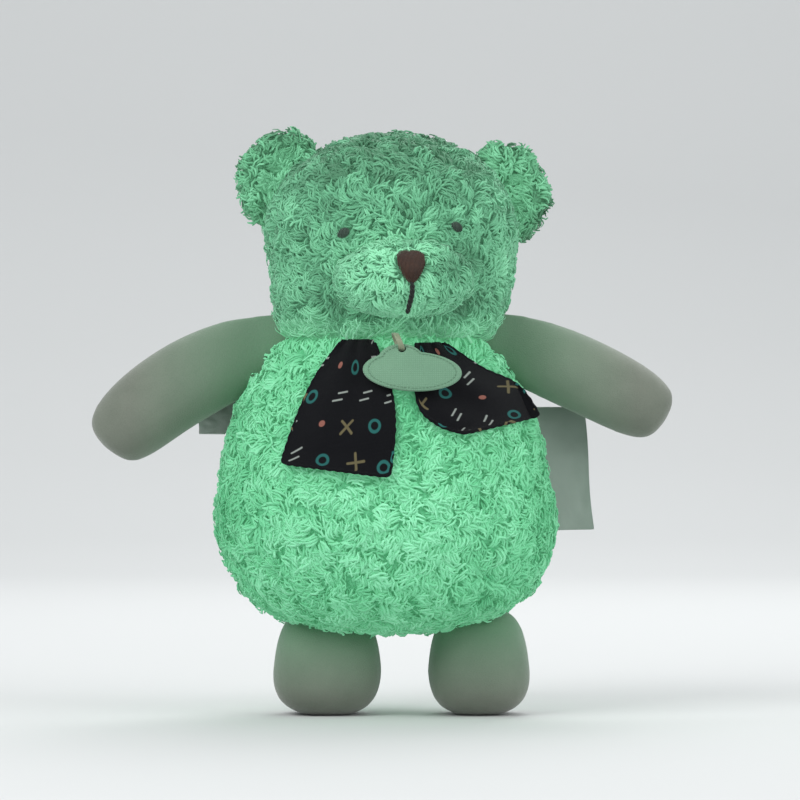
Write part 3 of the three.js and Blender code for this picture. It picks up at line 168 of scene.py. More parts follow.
def ball(segments: int, rings: int) -> Piece:
    """Adds a sphere of radius 1 with columns and rows of faces, to start a soft form from."""
    deselect()
    bpy.ops.mesh.primitive_uv_sphere_add(segments=segments, ring_count=rings, radius=1.0)
    return bpy.context.object


def stacked(name: str, levels: int, around: int) -> Piece:
    """Extrudes a closed stack of rings of radius 1 from a circle, one unit apart along Z.

    Args:
        name: The piece's name.
        levels: How many rings there are.
        around: How many corners each ring has.

    Returns:
        The stack.
    """
    deselect()
    bpy.ops.mesh.primitive_circle_add(vertices=around, radius=1.0, fill_type="NGON", location=(0, 0, 0))
    piece = bpy.context.object
    bpy.ops.object.mode_set(mode="EDIT")
    bpy.ops.mesh.select_all(action="SELECT")
    for _ in range(levels - 1):
        bpy.ops.mesh.extrude_region_move(TRANSFORM_OT_translate={"value": (0, 0, 1.0)})
    bpy.ops.object.mode_set(mode="OBJECT")
    piece.name = name
    return faces_outwards(piece)


def spun(name: str, profile: Sequence[tuple[float, float]], steps: int = 48) -> Piece:
    """Spins a profile once round the Z axis.

    Args:
        name: The piece's name.
        profile: Radius and height of each place, from pole to pole.
        steps: How many steps the turn has.

    Returns:
        The closed object.
    """
    deselect()
    mesh = bpy.data.meshes.new(name)
    edges = [(i, i + 1) for i in range(len(profile) - 1)]
    mesh.from_pydata([(r, 0.0, z) for r, z in profile], edges, [])
    piece = bpy.data.objects.new(name, mesh)
    bpy.context.collection.objects.link(piece)
    activate(piece)
    bpy.ops.object.mode_set(mode="EDIT")
    bpy.ops.mesh.select_all(action="SELECT")
    bpy.ops.mesh.spin(steps=steps, angle=FULL_TURN, center=(0, 0, 0), axis=(0, 0, 1))
    bpy.ops.object.mode_set(mode="OBJECT")
    return faces_outwards(piece)


def rows_of(items: Sequence, key: str, width: int = 3, kind: type = np.float64) -> np.ndarray:
    """Reads one value or vector of every item.

    Args:
        items: The mesh's vertices, loops, triangles or attribute values.
        key: The name of what is read.
        width: How many numbers each item has.
        kind: The type of the numbers.

    Returns:
        One row for each item.
    """
    values = np.empty(len(items) * width, dtype=kind)
    items.foreach_get(key, values)
    return values.reshape(-1, width)


def reshape(piece: Piece, move: Callable[[Points], Points]) -> Piece:
    """Moves all of a mesh's points at once.

    Args:
        piece: The object to reshape.
        move: Takes the points as rows and gives them back moved.

    Returns:
        The same object.
    """
    vertices = piece.data.vertices
    vertices.foreach_set("co", move(rows_of(vertices, "co")).ravel())
    piece.data.update()
    return piece


def mesh_of(name: str, points: Points, triangles: np.ndarray, tones: np.ndarray | None = None) -> Piece:
    """Makes a piece from arrays of points and triangles.

    Args:
        name: The piece's name.
        points: One row of x, y, z for each point.
        triangles: One row of three point numbers for each face.
        tones: A shade for each point, kept as the attribute "tone".

    Returns:
        The new object.
    """
    mesh = bpy.data.meshes.new(name)
    mesh.vertices.add(len(points))
    mesh.vertices.foreach_set("co", points.astype(np.float32).ravel())
    mesh.loops.add(triangles.size)
    mesh.loops.foreach_set("vertex_index", triangles.astype(np.int32).ravel())
    mesh.polygons.add(len(triangles))
    mesh.polygons.foreach_set("loop_start", np.arange(0, triangles.size, 3, dtype=np.int32))
    mesh.polygons.foreach_set("use_smooth", np.ones(len(triangles), dtype=bool))
    if tones is not None:
        layer = mesh.attributes.new("tone", "FLOAT", "POINT")
        layer.data.foreach_set("value", tones.astype(np.float32))
    mesh.update(calc_edges=True)
    piece = bpy.data.objects.new(name, mesh)
    bpy.context.collection.objects.link(piece)
    return piece


def spline(places: Sequence[Sequence[float]], count: int) -> Points:
    """Runs a smooth curve through places and samples it evenly in its parameter.

    Args:
        places: The places that the curve passes through.
        count: How many spans the result has.

    Returns:
        One row for each of count + 1 points.
    """
    knots = np.asarray(places, dtype=float)
    result = []
    last = len(knots) - 1
    for i in range(count + 1):
        t = last * i / count
        k = min(int(t), last - 1)
        w = t - k
        p0, p1, p2, p3 = knots[max(k - 1, 0)], knots[k], knots[k + 1], knots[min(k + 2, last)]
        bend = (2 * p0 - 5 * p1 + 4 * p2 - p3) * w * w + (3 * p1 - p0 - 3 * p2 + p3) * w**3
        result.append(0.5 * (2 * p1 + (p2 - p0) * w + bend))
    return np.array(result)


def band_faces(rings: int, sides: int) -> list[tuple[int, int, int]]:
    """Lists the triangles between the rings of a tube.

    Args:
        rings: How many rings the tube has.
        sides: How many corners each ring has.

    Returns:
        Two triangles for each side of each span.
    """
    faces = []
    for i in range(rings - 1):
        for j in range(sides):
            a, b = i * sides + j, i * sides + (j + 1) % sides
            faces += [(a, b, b + sides), (a, b + sides, a + sides)]
    return faces


def unit_ways(path: Points) -> Points:
    """The direction of a path at each of its points, as unit vectors."""
    ways = np.gradient(path, axis=0)
    return ways / np.linalg.norm(ways, axis=1)[:, None]


def tube(name: str, path: Points, radius: Callable[[float], float], sides: int = 8) -> Piece:
    """Sweeps a closed round tube along a path.

    Args:
        name: The piece's name.
        path: The points of the middle line.
        radius: Gives the tube's radius at a share of its length.
        sides: How many sides the tube has.

    Returns:
        The tube.
    """
    count = len(path)
    ways = unit_ways(path)
    side = np.cross(ways[0], (0.0, 0.0, 1.0))
    if np.linalg.norm(side) < 0.1:
        side = np.cross(ways[0], (1.0, 0.0, 0.0))
    points = []
    for i in range(count):
        side = side - ways[i] * side.dot(ways[i])
        side /= np.linalg.norm(side)
        other = np.cross(ways[i], side)
        r = radius(i / (count - 1))
        for j in range(sides):
            a = FULL_TURN * j / sides
            points.append(path[i] + r * (math.cos(a) * side + math.sin(a) * other))
    faces = band_faces(count, sides)
    base = (count - 1) * sides
    for j in range(1, sides - 1):
        faces += [(0, j + 1, j), (base, base + j, base + j + 1)]
    return faces_outwards(mesh_of(name, np.array(points), np.array(faces)))


def puffed(piece: Piece, voxel: float, cap: float, seam: Callable[[Vector], bool]) -> Piece:
    """Fills a sewn skin: cloth under pressure swells between the seams, which stay put.

    Args:
        piece: The closed form to fill.
        voxel: The size of the cloth's mesh.
        cap: The furthest that a point may move.
        seam: Tells whether a place lies on a seam.

    Returns:
        The filled form.
    """
    activate(piece)
    piece.data.remesh_voxel_size = voxel
    bpy.ops.object.voxel_remesh()
    start = rows_of(piece.data.vertices, "co")
    pins = piece.vertex_groups.new(name="seam")
    pins.add([v.index for v in piece.data.vertices if seam(v.co)], 1.0, "REPLACE")
    cloth = piece.modifiers.new("Fill", "CLOTH")
    cloth.settings.effector_weights.gravity = 0.0
    cloth.settings.use_pressure = True
    cloth.settings.uniform_pressure_force = STUFFING_PRESSURE
    cloth.settings.vertex_group_mass = "seam"
    cloth.settings.quality = 6
    cloth.point_cache.frame_start = 1
    cloth.point_cache.frame_end = CLOTH_FRAMES
    for step in range(1, CLOTH_FRAMES + 1):
        bpy.context.scene.frame_set(step)
    bpy.ops.object.modifier_apply(modifier=cloth.name)
    bpy.context.scene.frame_set(1)
    way = rows_of(piece.data.vertices, "co") - start
    far = np.linalg.norm(way, axis=1)
    keep = np.minimum(1.0, cap / np.maximum(far, 1e-9))
    reshape(piece, lambda _: start + way * keep[:, None])
    return rounded(piece)


# Materials


def linear(red: int, green: int, blue: int) -> Colour:
    """Turns a screen colour from 0 to 255 into the renderer's own scale."""
    shares = (red / 255, green / 255, blue / 255)
    return tuple(c / 12.92 if c <= 0.04045 else ((c + 0.055) / 1.055) ** 2.4 for c in shares)


class Level:
    """A number that a material works out at each spot, with plain arithmetic on it."""

    def __init__(self, recipe: "Recipe", socket: Socket) -> None:
        """Keeps the socket that carries the number."""
        self.recipe = recipe
        self.socket = socket

    def __add__(self, other: object) -> "Level":
        """The sum."""
        return self.recipe.math("ADD", self, other)

    def __sub__(self, other: object) -> "Level":
        """The difference."""
        return self.recipe.math("SUBTRACT", self, other)

    def __mul__(self, other: object) -> "Level":
        """The product."""
        return self.recipe.math("MULTIPLY", self, other)

    def __truediv__(self, other: object) -> "Level":
        """The quotient."""
        return self.recipe.math("DIVIDE", self, other)


class Recipe:
    """Builds one node material step by step."""

    def __init__(self, name: str) -> None:
        """Starts a material with a bare surface shader."""
        self.material = bpy.data.materials.new(name)
        self.material.use_nodes = True
        self.tree = self.material.node_tree
        self.shader = self.tree.nodes["Principled BSDF"]
        self._spots: Socket | None = None

    def add(self, kind: str, inputs: dict | None = None, **settings: object) -> bpy.types.Node:
        """Adds a node.

        Args:
            kind: The node's type.
            inputs: What its sockets are linked or set to.
            settings: Its properties.

        Returns:
            The node.
        """
        node = self.tree.nodes.new(kind)
        for name, value in settings.items():
            setattr(node, name, value)
        for socket, value in (inputs or {}).items():
            self.feed(node.inputs[socket], value)
        return node

    def feed(self, socket: Socket, value: object) -> None:
        """Links a socket to another, or sets it to a value.

        Args:
            socket: The socket to fill.
            value: A level, a socket, a colour, a vector or a number.
        """
        if isinstance(value, Level):
            value = value.socket
        if isinstance(value, Socket):
            self.tree.links.new(value, socket)
        elif isinstance(value, tuple) and len(value) == 3 and socket.type == "RGBA":
            socket.default_value = (*value, 1.0)
        else:
            socket.default_value = value

    def surface(self, **values: object) -> None:
        """Sets the shader's own sockets, with underscores for spaces."""
        for name, value in values.items():
            self.feed(self.shader.inputs[name.replace("_", " ")], value)

    @property
    def place(self) -> Socket:
        """The object's own coordinates."""
        if self._spots is None:
            self._spots = self.add("ShaderNodeTexCoord").outputs["Object"]
        return self._spots

    @property
    def uv(self) -> Socket:
        """The piece's own UV map."""
        return self.add("ShaderNodeUVMap", uv_map="UVMap").outputs["UV"]

    def parts(self, vector: Socket) -> tuple[Level, Level, Level]:
        """Splits a vector into its three numbers."""
        split = self.add("ShaderNodeSeparateXYZ", {0: vector})
        return tuple(Level(self, out) for out in split.outputs)

    def stretched(self, scale: Place) -> Socket:
        """Scales the object's coordinates along each axis."""
        return self.add("ShaderNodeMapping", {"Vector": self.place, "Scale": scale}).outputs["Vector"]

    def grain(self, scale: float, detail: float = 2.0, rough: float = 0.5, warp: float = 0.0,
              vector: Socket | None = None) -> Level:
        """Makes a cloud noise between 0 and 1.

        Args:
            scale: How many clouds there are in a metre.
            detail: How many finer layers are added.
            rough: How strong the finer layers are.
            warp: How much the clouds are bent.
            vector: The coordinates, if they aren't the object's own.

        Returns:
            The noise.
        """
        values = {"Scale": scale, "Detail": detail, "Roughness": rough, "Distortion": warp}
        node = self.add("ShaderNodeTexNoise", {**values, "Vector": vector or self.place})
        return Level(self, node.outputs["Fac"])

    def threads(self, vector: Socket, axes: str, scale: float, warp: float) -> tuple[Level, Level]:
        """Makes the two sets of threads of a plain weave.

        Args:
            vector: The coordinates.
            axes: The two axes that the threads cross.
            scale: How fine the threads are.
            warp: How uneven the threads are.

        Returns:
            A wave for each set.
        """
        values = {"Scale": scale, "Distortion": warp, "Vector": vector}
        waves = (self.add("ShaderNodeTexWave", values, bands_direction=axis) for axis in axes)
        return tuple(Level(self, wave.outputs["Fac"]) for wave in waves)

    def math(self, operation: str, *values: object) -> Level:
        """Does one sum on levels or numbers."""
        node = self.add("ShaderNodeMath", dict(enumerate(values)), operation=operation)
        return Level(self, node.outputs[0])

    def far(self, a: Level, b: Level) -> Level:
        """The length of a flat vector."""
        return self.math("SQRT", a * a + b * b)

    def blend(self, share: object, first: object, second: object) -> Socket:
        """Mixes two colours."""
        node = self.add("ShaderNodeMix", {"Factor": share, "A": first, "B": second}, data_type="RGBA")
        return node.outputs["Result"]

    def span(self, value: Level, low: float, high: float, start: float = 0.0, end: float = 1.0) -> Level:
        """Maps the range from low to high to the one from start to end, and clamps the result."""
        node = self.add("ShaderNodeMapRange", dict(enumerate((value, low, high, start, end))))
        return Level(self, node.outputs["Result"])

    def relief(self, height: Level, distance: float) -> None:
        """Roughens the surface by a height in metres."""
        bump = self.add("ShaderNodeBump", {"Strength": 1.0, "Distance": distance, "Height": height})
        self.feed(self.shader.inputs["Normal"], bump.outputs["Normal"])


class Tone(Enum):
    """The colours read off the plush: shade at the root, middle and lit tip."""

    BELLY = (linear(86, 172, 122), linear(112, 196, 147), linear(138, 216, 172))
    HEAD = (linear(68, 116, 87), linear(102, 168, 130), linear(134, 206, 164))
    EAR = (linear(64, 106, 79), linear(98, 164, 124), linear(130, 202, 160))


@dataclass(frozen=True)
class Plush:
    """Curly pile: darker at the root, lighter at the tip, with soft patches."""

    name: str
    tone: Tone
    glow: float = 0.32
    softness: float = 0.45
    patchiness: float = 0.5

    def build(self) -> Material:
        """Builds the material."""
        r = Recipe(self.name)
        root, middle, tip = self.tone.value
        shade = r.add("ShaderNodeAttribute", attribute_name="tone").outputs["Fac"]
        patch = r.grain(160.0, 3.0, 0.6, 0.6)
        level = (patch - 0.5) * self.patchiness + shade
        low = r.blend(r.span(level, 0.0, 0.5), root, middle)
        colour = r.blend(r.span(level, 0.5, 1.0), low, tip)
        # The emission is the fur's own glow, and also lifts the shade between the curls as painted light.
        r.surface(Base_Color=colour, Roughness=0.85, Emission_Color=colour, Emission_Strength=self.glow)
        r.surface(Sheen_Weight=0.2, Sheen_Roughness=0.5, Specular_IOR_Level=0.15, Normal=self._soft_normal(r))
        return r.material

    def _soft_normal(self, r: Recipe) -> Socket:
        """Leans each curl's normal towards the skin's, as light spreads through real pile.

        Args:
            r: The recipe that the nodes are added to.

        Returns:
            The leaning normal.
        """
        skin = r.add("ShaderNodeAttribute", attribute_name="skin_way").outputs["Vector"]
        world = r.add("ShaderNodeVectorTransform", {"Vector": skin}, vector_type="NORMAL",
                      convert_from="OBJECT", convert_to="WORLD").outputs["Vector"]
        own = r.add("ShaderNodeNewGeometry").outputs["Normal"]
        mix = r.add("ShaderNodeMix", {"Factor": self.softness, "A": own, "B": world}, data_type="VECTOR")
        lean = r.add("ShaderNodeVectorMath", {0: mix.outputs["Result"]}, operation="NORMALIZE")
        return lean.outputs["Vector"]


@dataclass(frozen=True)
class PlushBacking:
    """The cloth under the pile, with the pile's own curls pressed into it."""

    name: str
    tone: Tone
    glow: float = 0.2
    depth: float = 0.8 * MM

    def build(self) -> Material:
        """Builds the material."""
        r = Recipe(self.name)
        root, middle, _ = self.tone.value
        curls = r.grain(420.0, 4.0, 0.6, 2.2)
        colour = r.blend(r.span(curls, 0.35, 0.65), root, middle)
        r.surface(Base_Color=colour, Roughness=0.95, Specular_IOR_Level=0.1)
        # The emission is the cloth's own glow, and also lifts its shade as painted light.
        r.surface(Emission_Color=colour, Emission_Strength=self.glow)
        r.relief(curls, self.depth)
        return r.material


@dataclass(frozen=True)
class Velour:
    """Short even nap with faint brushed streaks.

    Between two places along its axis, plain cloth turns to cloth with painted green light from the plush's
    glow.
    """

    name: str
    axis: str
    # Painted green glow light is strongest at the first place and fades out towards the plain one.
    glow_lit: float
    plain: float
    colour: Colour = linear(116, 122, 111)
    shade: Colour = linear(104, 111, 100)
    painted_glow: Colour = linear(100, 142, 112)
    fleck: Colour = linear(142, 150, 136)

    def build(self) -> Material:
        """Builds the material."""
        r = Recipe(self.name)
        brushed = r.grain(70.0, 3.0, 0.5, 0.2)
        nap = r.grain(2600.0, 2.0, 0.6)
        spot = r.math("ABSOLUTE", r.parts(r.place)["XYZ".index(self.axis)])
        colour = r.blend(r.span(brushed, 0.3, 0.7), self.shade, self.colour)
        # Painted green light from the plush's glow.
        colour = r.blend(r.span(spot, self.plain, self.glow_lit, 0.0, 0.8), colour, self.painted_glow)
        colour = r.blend(r.span(nap, 0.3, 0.7, 0.0, 0.2), colour, self.fleck)
        r.surface(Base_Color=colour, Roughness=0.82, Specular_IOR_Level=0.25)
        r.surface(Sheen_Weight=0.35, Sheen_Roughness=0.4)
        r.relief(nap, 0.16 * MM)
        return r.material


class Motif(Enum):
    """The scarf's motifs: the draws that pick one from, and up to, and its ink."""

    RING = (0.0, 0.28, linear(44, 108, 104))
    CROSS = (0.28, 0.5, linear(112, 104, 76))
    TICKS = (0.5, 0.86, linear(160, 168, 162))
    DOT = (0.86, 1.0, linear(156, 102, 90))


@dataclass(frozen=True)
class ScarfPrint:
    """Near-black cotton with small scattered motifs of our own: rings, ticks, crosses and grains.

    The cell is the room that each motif has. All other sizes of the motifs are shares of it.
    """

    name: str
    cell: float = 10.5 * MM
    scatter: float = 0.24
    turn: float = 3.1
    tick_turn: float = 0.7
    ring: float = 0.17
    ring_half: float = 0.045
    dot: float = 0.1
    cross: tuple[float, float] = (0.26, 0.04)
    tick: tuple[float, float] = (0.17, 0.028)
    soft_edge: float = 0.012
    cover: float = 0.92

    def build(self) -> Material:
        """Builds the material."""
        r = Recipe(self.name)
        weave = r.math("MAXIMUM", *r.threads(r.uv, "XY", 950.0, 0.6))
        colour = r.blend(r.span(weave, 0.2, 0.8), linear(5, 5, 8), linear(17, 18, 22))
        for motif in Motif:
            colour = r.blend(self._mask(r, motif), colour, motif.value[2])
        r.surface(Base_Color=colour, Roughness=0.92, Sheen_Weight=0.04, Specular_IOR_Level=0.12)
        r.relief(weave + r.grain(1500.0, 3.0, 0.6), 0.12 * MM)
        return r.material

    def _mask(self, r: Recipe, motif: Motif) -> Level:
        """Makes a mask of one kind of motif, in the cells whose draw falls to it.

        Args:
            r: The recipe that the nodes are added to.
            motif: The motif.

        Returns:
            How much of its ink lies on each spot.
        """
        across, down, _ = r.parts(r.uv)
        v = down / self.cell
        row = r.math("FLOOR", v)
        u = across / self.cell + r.math("MODULO", row, 2.0) * 0.5
        cell = r.add("ShaderNodeCombineXYZ", {"X": r.math("FLOOR", u), "Y": row}).outputs[0]
        draw = r.add("ShaderNodeTexWhiteNoise", {"Vector": cell}, noise_dimensions="3D")
        drawn = r.add("ShaderNodeSeparateColor", {0: draw.outputs["Color"]})
        right, up, turned = (Level(r, out) for out in drawn.outputs)
        start = 0.5 - self.scatter / 2
        x = r.math("FRACT", u) - (right * self.scatter + start)
        y = r.math("FRACT", v) - (up * self.scatter + start)
        angle = turned * (self.tick_turn if motif is Motif.TICKS else self.turn)
        cos, sin = r.math("COSINE", angle), r.math("SINE", angle)
        away = self._away(r, motif, x * cos + y * sin, y * cos - x * sin)
        ink = r.span(away, self.soft_edge, -self.soft_edge)
        low, high, _ = motif.value
        value = draw.outputs["Value"]
        return ink * (r.math("GREATER_THAN", value, low) * r.math("LESS_THAN", value, high) * self.cover)

    def _away(self, r: Recipe, motif: Motif, a: Level, b: Level) -> Level:
        """Measures how far a spot lies outside a motif.

        Args:
            r: The recipe that the nodes are added to.
            motif: The motif.
            a: The spot's place along the motif.
            b: The spot's place across it.

        Returns:
            The distance, which is negative inside.
        """
        if motif is Motif.RING:
            return r.math("ABSOLUTE", r.far(a, b) - self.ring) - self.ring_half
        if motif is Motif.DOT:
            return r.far(a, b) - self.dot
        if motif is Motif.CROSS:
            return r.math("MINIMUM", self._bar(r, a, b, self.cross), self._bar(r, b, a, self.cross))
        upper = self._bar(r, a - 0.1, b - 0.12, self.tick)
        lower = self._bar(r, a + 0.1, b + 0.1, self.tick)
        return r.math("MINIMUM", upper, lower)

    def _bar(self, r: Recipe, along: Level, across: Level, size: tuple[float, float]) -> Level:
        """The distance outside a bar with round ends, from its half length and half width."""
        reach, half = size
        past = r.math("MAXIMUM", r.math("ABSOLUTE", along) - reach, 0.0)
        return r.far(past, across) - half


@dataclass(frozen=True)
class Woven:
    """Fine plain cloth for the tag, labels and ribbon."""

    name: str
    colour: Colour
    shade: Colour
    threads: float = 2600.0
    roughness: float = 0.32
    sheen: float = 0.35
    relief: float = 0.05 * MM

    def build(self) -> Material:
        """Builds the material."""
        r = Recipe(self.name)
        weave = r.math("MULTIPLY", *r.threads(r.place, "XZ", self.threads / 3, 0.8))
        level = weave * 0.5 + r.grain(70.0, 4.0, 0.6) * 0.5
        colour = r.blend(r.span(level, 0.15, 0.6), self.shade, self.colour)
        r.surface(Base_Color=colour, Roughness=self.roughness, Sheen_Weight=self.sheen)
        r.relief(weave + r.grain(1700.0), self.relief)
        return r.material


@dataclass(frozen=True)
class Stitching:
    """Glossy embroidery thread."""

    name: str
    colour: Colour
    shade: Colour

    def build(self) -> Material:
        """Builds the material."""
        r = Recipe(self.name)
        fibre = r.grain(1800.0, 3.0, 0.6, vector=r.stretched((1.0, 1.0, 0.12)))
        level = fibre * 0.6 + r.grain(220.0) * 0.4
        colour = r.blend(r.span(level, 0.3, 0.7), self.shade, self.colour)
        r.surface(Base_Color=colour, Roughness=0.55, Sheen_Weight=0.12, Specular_IOR_Level=0.3)
        r.relief(fibre, 0.08 * MM)
        return r.material


@dataclass(frozen=True)
class Hard:
    """A hard surface with fine wear: bare or plated metal, marked along its polish."""

    name: str
    colour: Colour
    shade: Colour
    roughness: float
    metallic: float = 1.0
    soil: tuple[float, float, float] = (180.0, 5.0, 0.65)
    marks: float = 900.0
    drawn: Place = (1.0, 0.08, 1.0)
    uneven: float = 0.16
    depth: float = 0.03 * MM

    def build(self) -> Material:
        """Builds the material."""
        r = Recipe(self.name)
        marks = r.grain(self.marks, 3.0, 0.6, vector=r.stretched(self.drawn))
        colour = r.blend(r.span(r.grain(*self.soil), 0.35, 0.7), self.colour, self.shade)
        rough = r.span(marks, 0.3, 0.7, self.roughness, self.roughness + self.uneven)
        r.surface(Base_Color=colour, Metallic=self.metallic, Roughness=rough)
        r.relief(marks, self.depth)
        return r.material


@dataclass(frozen=True)
class Moulded(Hard):
    """Moulded plastic with a fine spark texture."""

    roughness: float = 0.42
    metallic: float = 0.0
    soil: tuple[float, float, float] = (60.0, 4.0, 0.6)
    marks: float = 1500.0
    drawn: Place = (1.0, 1.0, 1.0)
    uneven: float = 0.12
    depth: float = 0.04 * MM


def dress(piece: Piece, material: Material, body: str, slot: str, *nodes: str) -> Piece:
    """Gives a piece its material and the body that it rides on, and hides the nodes that it stands for.

    Args:
        piece: The new piece.
        material: Its material.
        body: The CAD body.
        slot: The record's material slot. Not used.
        nodes: The nodes that it replaces, if any.

    Returns:
        The same object.
    """
    piece.data.materials.clear()
    piece.data.materials.append(material)
    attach(piece, body)
    if nodes:
        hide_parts(*nodes)
    log.info("%s rides on %s with %d faces", piece.name, body, len(piece.data.polygons))
    return piece


# Pile


@dataclass(frozen=True)
class Lock:
    """One curl of the pile: a tapered fibre through five places, for a curl one unit long."""

    path: tuple[Place, Place, Place, Place, Place]
    sides: int = 3
    swells: tuple[float, float, float, float] = (0.7, 1.0, 1.05, 0.78)
    flatness: float = 0.6

    @property
    def faces(self) -> np.ndarray:
        """The curl's triangles, with its tip last."""
        rings = len(self.swells)
        tip, base = rings * self.sides, (rings - 1) * self.sides
        ends = [(base + j, base + (j + 1) % self.sides, tip) for j in range(self.sides)]
        return np.array([(0, 2, 1), *band_faces(rings, self.sides), *ends])

    def rings(self) -> tuple[Points, Points, np.ndarray]:
        """Works out the curl's points.

        Returns:
            Each point's middle, its way out from there and its share from root to tip.
        """
        path = np.array(self.path)
        ways = unit_ways(path)
        middles, outs, shares = [], [], []
        for i, swell in enumerate(self.swells):
            side = np.cross(ways[i], (0.0, 0.0, 1.0))
            side /= max(np.linalg.norm(side), 1e-6)
            other = np.cross(side, ways[i])
            for j in range(self.sides):
                a = -FULL_TURN * (j + 0.5) / self.sides
                middles.append(path[i])
                outs.append(swell * (math.cos(a) * side + self.flatness * math.sin(a) * other))
                shares.append(i / len(self.swells))
        middles.append(path[-1])
        outs.append(np.zeros(3))
        shares.append(1.0)
        return np.array(middles), np.array(outs), np.array(shares)


LOCKS = (
    Lock(((0, 0, -0.1), (0.2, 0.0, 0.24), (0.5, 0.1, 0.38), (0.8, 0.32, 0.34), (0.88, 0.44, 0.27))),
    Lock(((0, 0, -0.1), (0.2, 0.0, 0.26), (0.48, -0.12, 0.42), (0.74, -0.38, 0.38), (0.79, -0.52, 0.3))),
    Lock(((0, 0, -0.1), (0.16, 0.06, 0.28), (0.44, 0.14, 0.46), (0.78, 0.0, 0.46), (0.9, -0.1, 0.4))),
    Lock(((0, 0, -0.1), (0.24, 0.0, 0.18), (0.58, -0.1, 0.3), (0.92, 0.06, 0.24), (1.02, 0.16, 0.17))),
)


@dataclass
class Pile:
    """A coat of curls on a skin.

    The density is in curls on a square metre. A tuft is the count of curls that gather in one, and the
    swirl is how fast the comb's way changes over the skin. The thin rule gives each root its share of the
    full length, the comb a way to lie, and the glow the painted light and shade that its tone gains.
    """

    name: str
    body: str
    slot: str
    finish: Plush
    density: float
    length: float
    spread: float
    girth: float
    seed: int
    swirl: float
    lift: float
    thin: Growth
    pieces: int = 1
    tuft: float = 9.0
    gather: float = 0.45
    quick_share: float = 0.25
    comb: Callable[[Points], Points] | None = None
    glow: Callable[[Points], np.ndarray] | None = None

    def grow(self, skin: Piece) -> list[Piece]:
        """Grows the coat on a skin.

        Args:
            skin: The finished skin.

        Returns:
            The coat's pieces.
        """
        rng = np.random.default_rng(self.seed)
        points, normals = self._roots(skin, rng)
        lengths = self.thin(points, normals)
        keep = lengths > 0.15
        points, normals, lengths = points[keep], normals[keep], lengths[keep]
        verts, tones = self._curls(points, normals, lengths, rng)
        per = verts.shape[1]
        ways = np.repeat(normals[:, None], per, axis=1)
        x, y = points[:, 0], points[:, 1]
        order = np.argsort(np.arctan2(x - x.mean(), -y + y.mean()))
        material = self.finish.build()
        made = []
        for part, rows in enumerate(np.array_split(order, self.pieces)):
            name = self.name if self.pieces == 1 else f"{self.name}_{part + 1}"
            index = (np.arange(len(rows)) * per)[:, None, None] + LOCKS[0].faces
            piece = mesh_of(name, verts[rows].reshape(-1, 3), index.reshape(-1, 3), tones[rows].ravel())
            layer = piece.data.attributes.new("skin_way", "FLOAT_VECTOR", "POINT")
            layer.data.foreach_set("vector", ways[rows].astype(np.float32).ravel())
            made.append(dress(piece, material, self.body, self.slot))
        return made

    def _roots(self, skin: Piece, rng: np.random.Generator) -> tuple[Points, Points]:
        """Spreads roots evenly over the skin.

        Args:
            skin: The finished skin.
            rng: Where the draws come from.

        Returns:
            Each root's place and the skin's normal there.
        """
        mesh = skin.data
        mesh.calc_loop_triangles()
        co, no = rows_of(mesh.vertices, "co"), rows_of(mesh.vertices, "normal")
        corners = self._in_order(rows_of(mesh.loop_triangles, "vertices", 3, np.int32), co)
        a, b, c = co[corners[:, 0]], co[corners[:, 1]], co[corners[:, 2]]
        area = np.linalg.norm(np.cross(b - a, c - a), axis=1) / 2
        count = int(area.sum() * self.density * (1.0))
        pick = rng.choice(len(area), size=count, p=area / area.sum())
        u, v = rng.random(count), rng.random(count)
        flip = u + v > 1
        u[flip], v[flip] = 1 - u[flip], 1 - v[flip]
        w = (1 - u - v)[:, None]
        u, v = u[:, None], v[:, None]
        points = a[pick] * w + b[pick] * u + c[pick] * v
        normals = no[corners[pick, 0]] * w + no[corners[pick, 1]] * u + no[corners[pick, 2]] * v
        return points, normals / np.linalg.norm(normals, axis=1)[:, None]

    def _in_order(self, corners: np.ndarray, co: Points) -> np.ndarray:
        """Sorts triangles and their corners by place, because a ball's come in a new order each run.

        Args:
            corners: The three point numbers of each triangle.
            co: The points.

        Returns:
            The triangles in an order that stays the same.
        """
        keys = (co @ np.array((1.0, 1.7, 2.9)))[corners]
        corners = np.take_along_axis(corners, np.argsort(keys, axis=1), axis=1)
        return corners[np.argsort(keys.sum(axis=1))]

    def _tufts(self, points: Points, rng: np.random.Generator) -> Points:
        """Finds the middle of the tuft that each curl leans towards.

        Args:
            points: The roots.
            rng: Where the draws come from.

        Returns:
            One place for each root.
        """
        count = max(int(len(points) / self.tuft), 1)
        centres = points[rng.choice(len(points), size=count, replace=False)]
        tree = KDTree(count)
        for i, centre in enumerate(centres):
            tree.insert(centre, i)
        tree.balance()
        return centres[[tree.find(p)[1] for p in points]]

    def _flow(self, centres: Points) -> tuple[Points, np.ndarray, np.ndarray]:
        """Works out the slow swirl that combs the coat.

        Args:
            centres: The middle of each root's tuft.

        Returns:
            Which way each tuft lies, which way it curls and how far it stands up.
        """
        spots, rows = np.unique(centres, axis=0, return_inverse=True)
        ways, bends, rises = [], [], []
        for p in spots:
            spot = Vector(p) * self.swirl
            eddy = noise.noise_vector(spot * 2.3 + Vector((7, 3, 1)))
            ways.append((noise.noise_vector(spot) + 0.6 * eddy)[:])
            bends.append(noise.noise(spot * 1.4 + Vector((2, 9, 4))))
            rises.append(noise.noise(spot * 2.6 + Vector((5, 1, 8))))
        rows = rows.ravel()
        return np.array(ways)[rows], np.array(bends)[rows], np.array(rises)[rows]

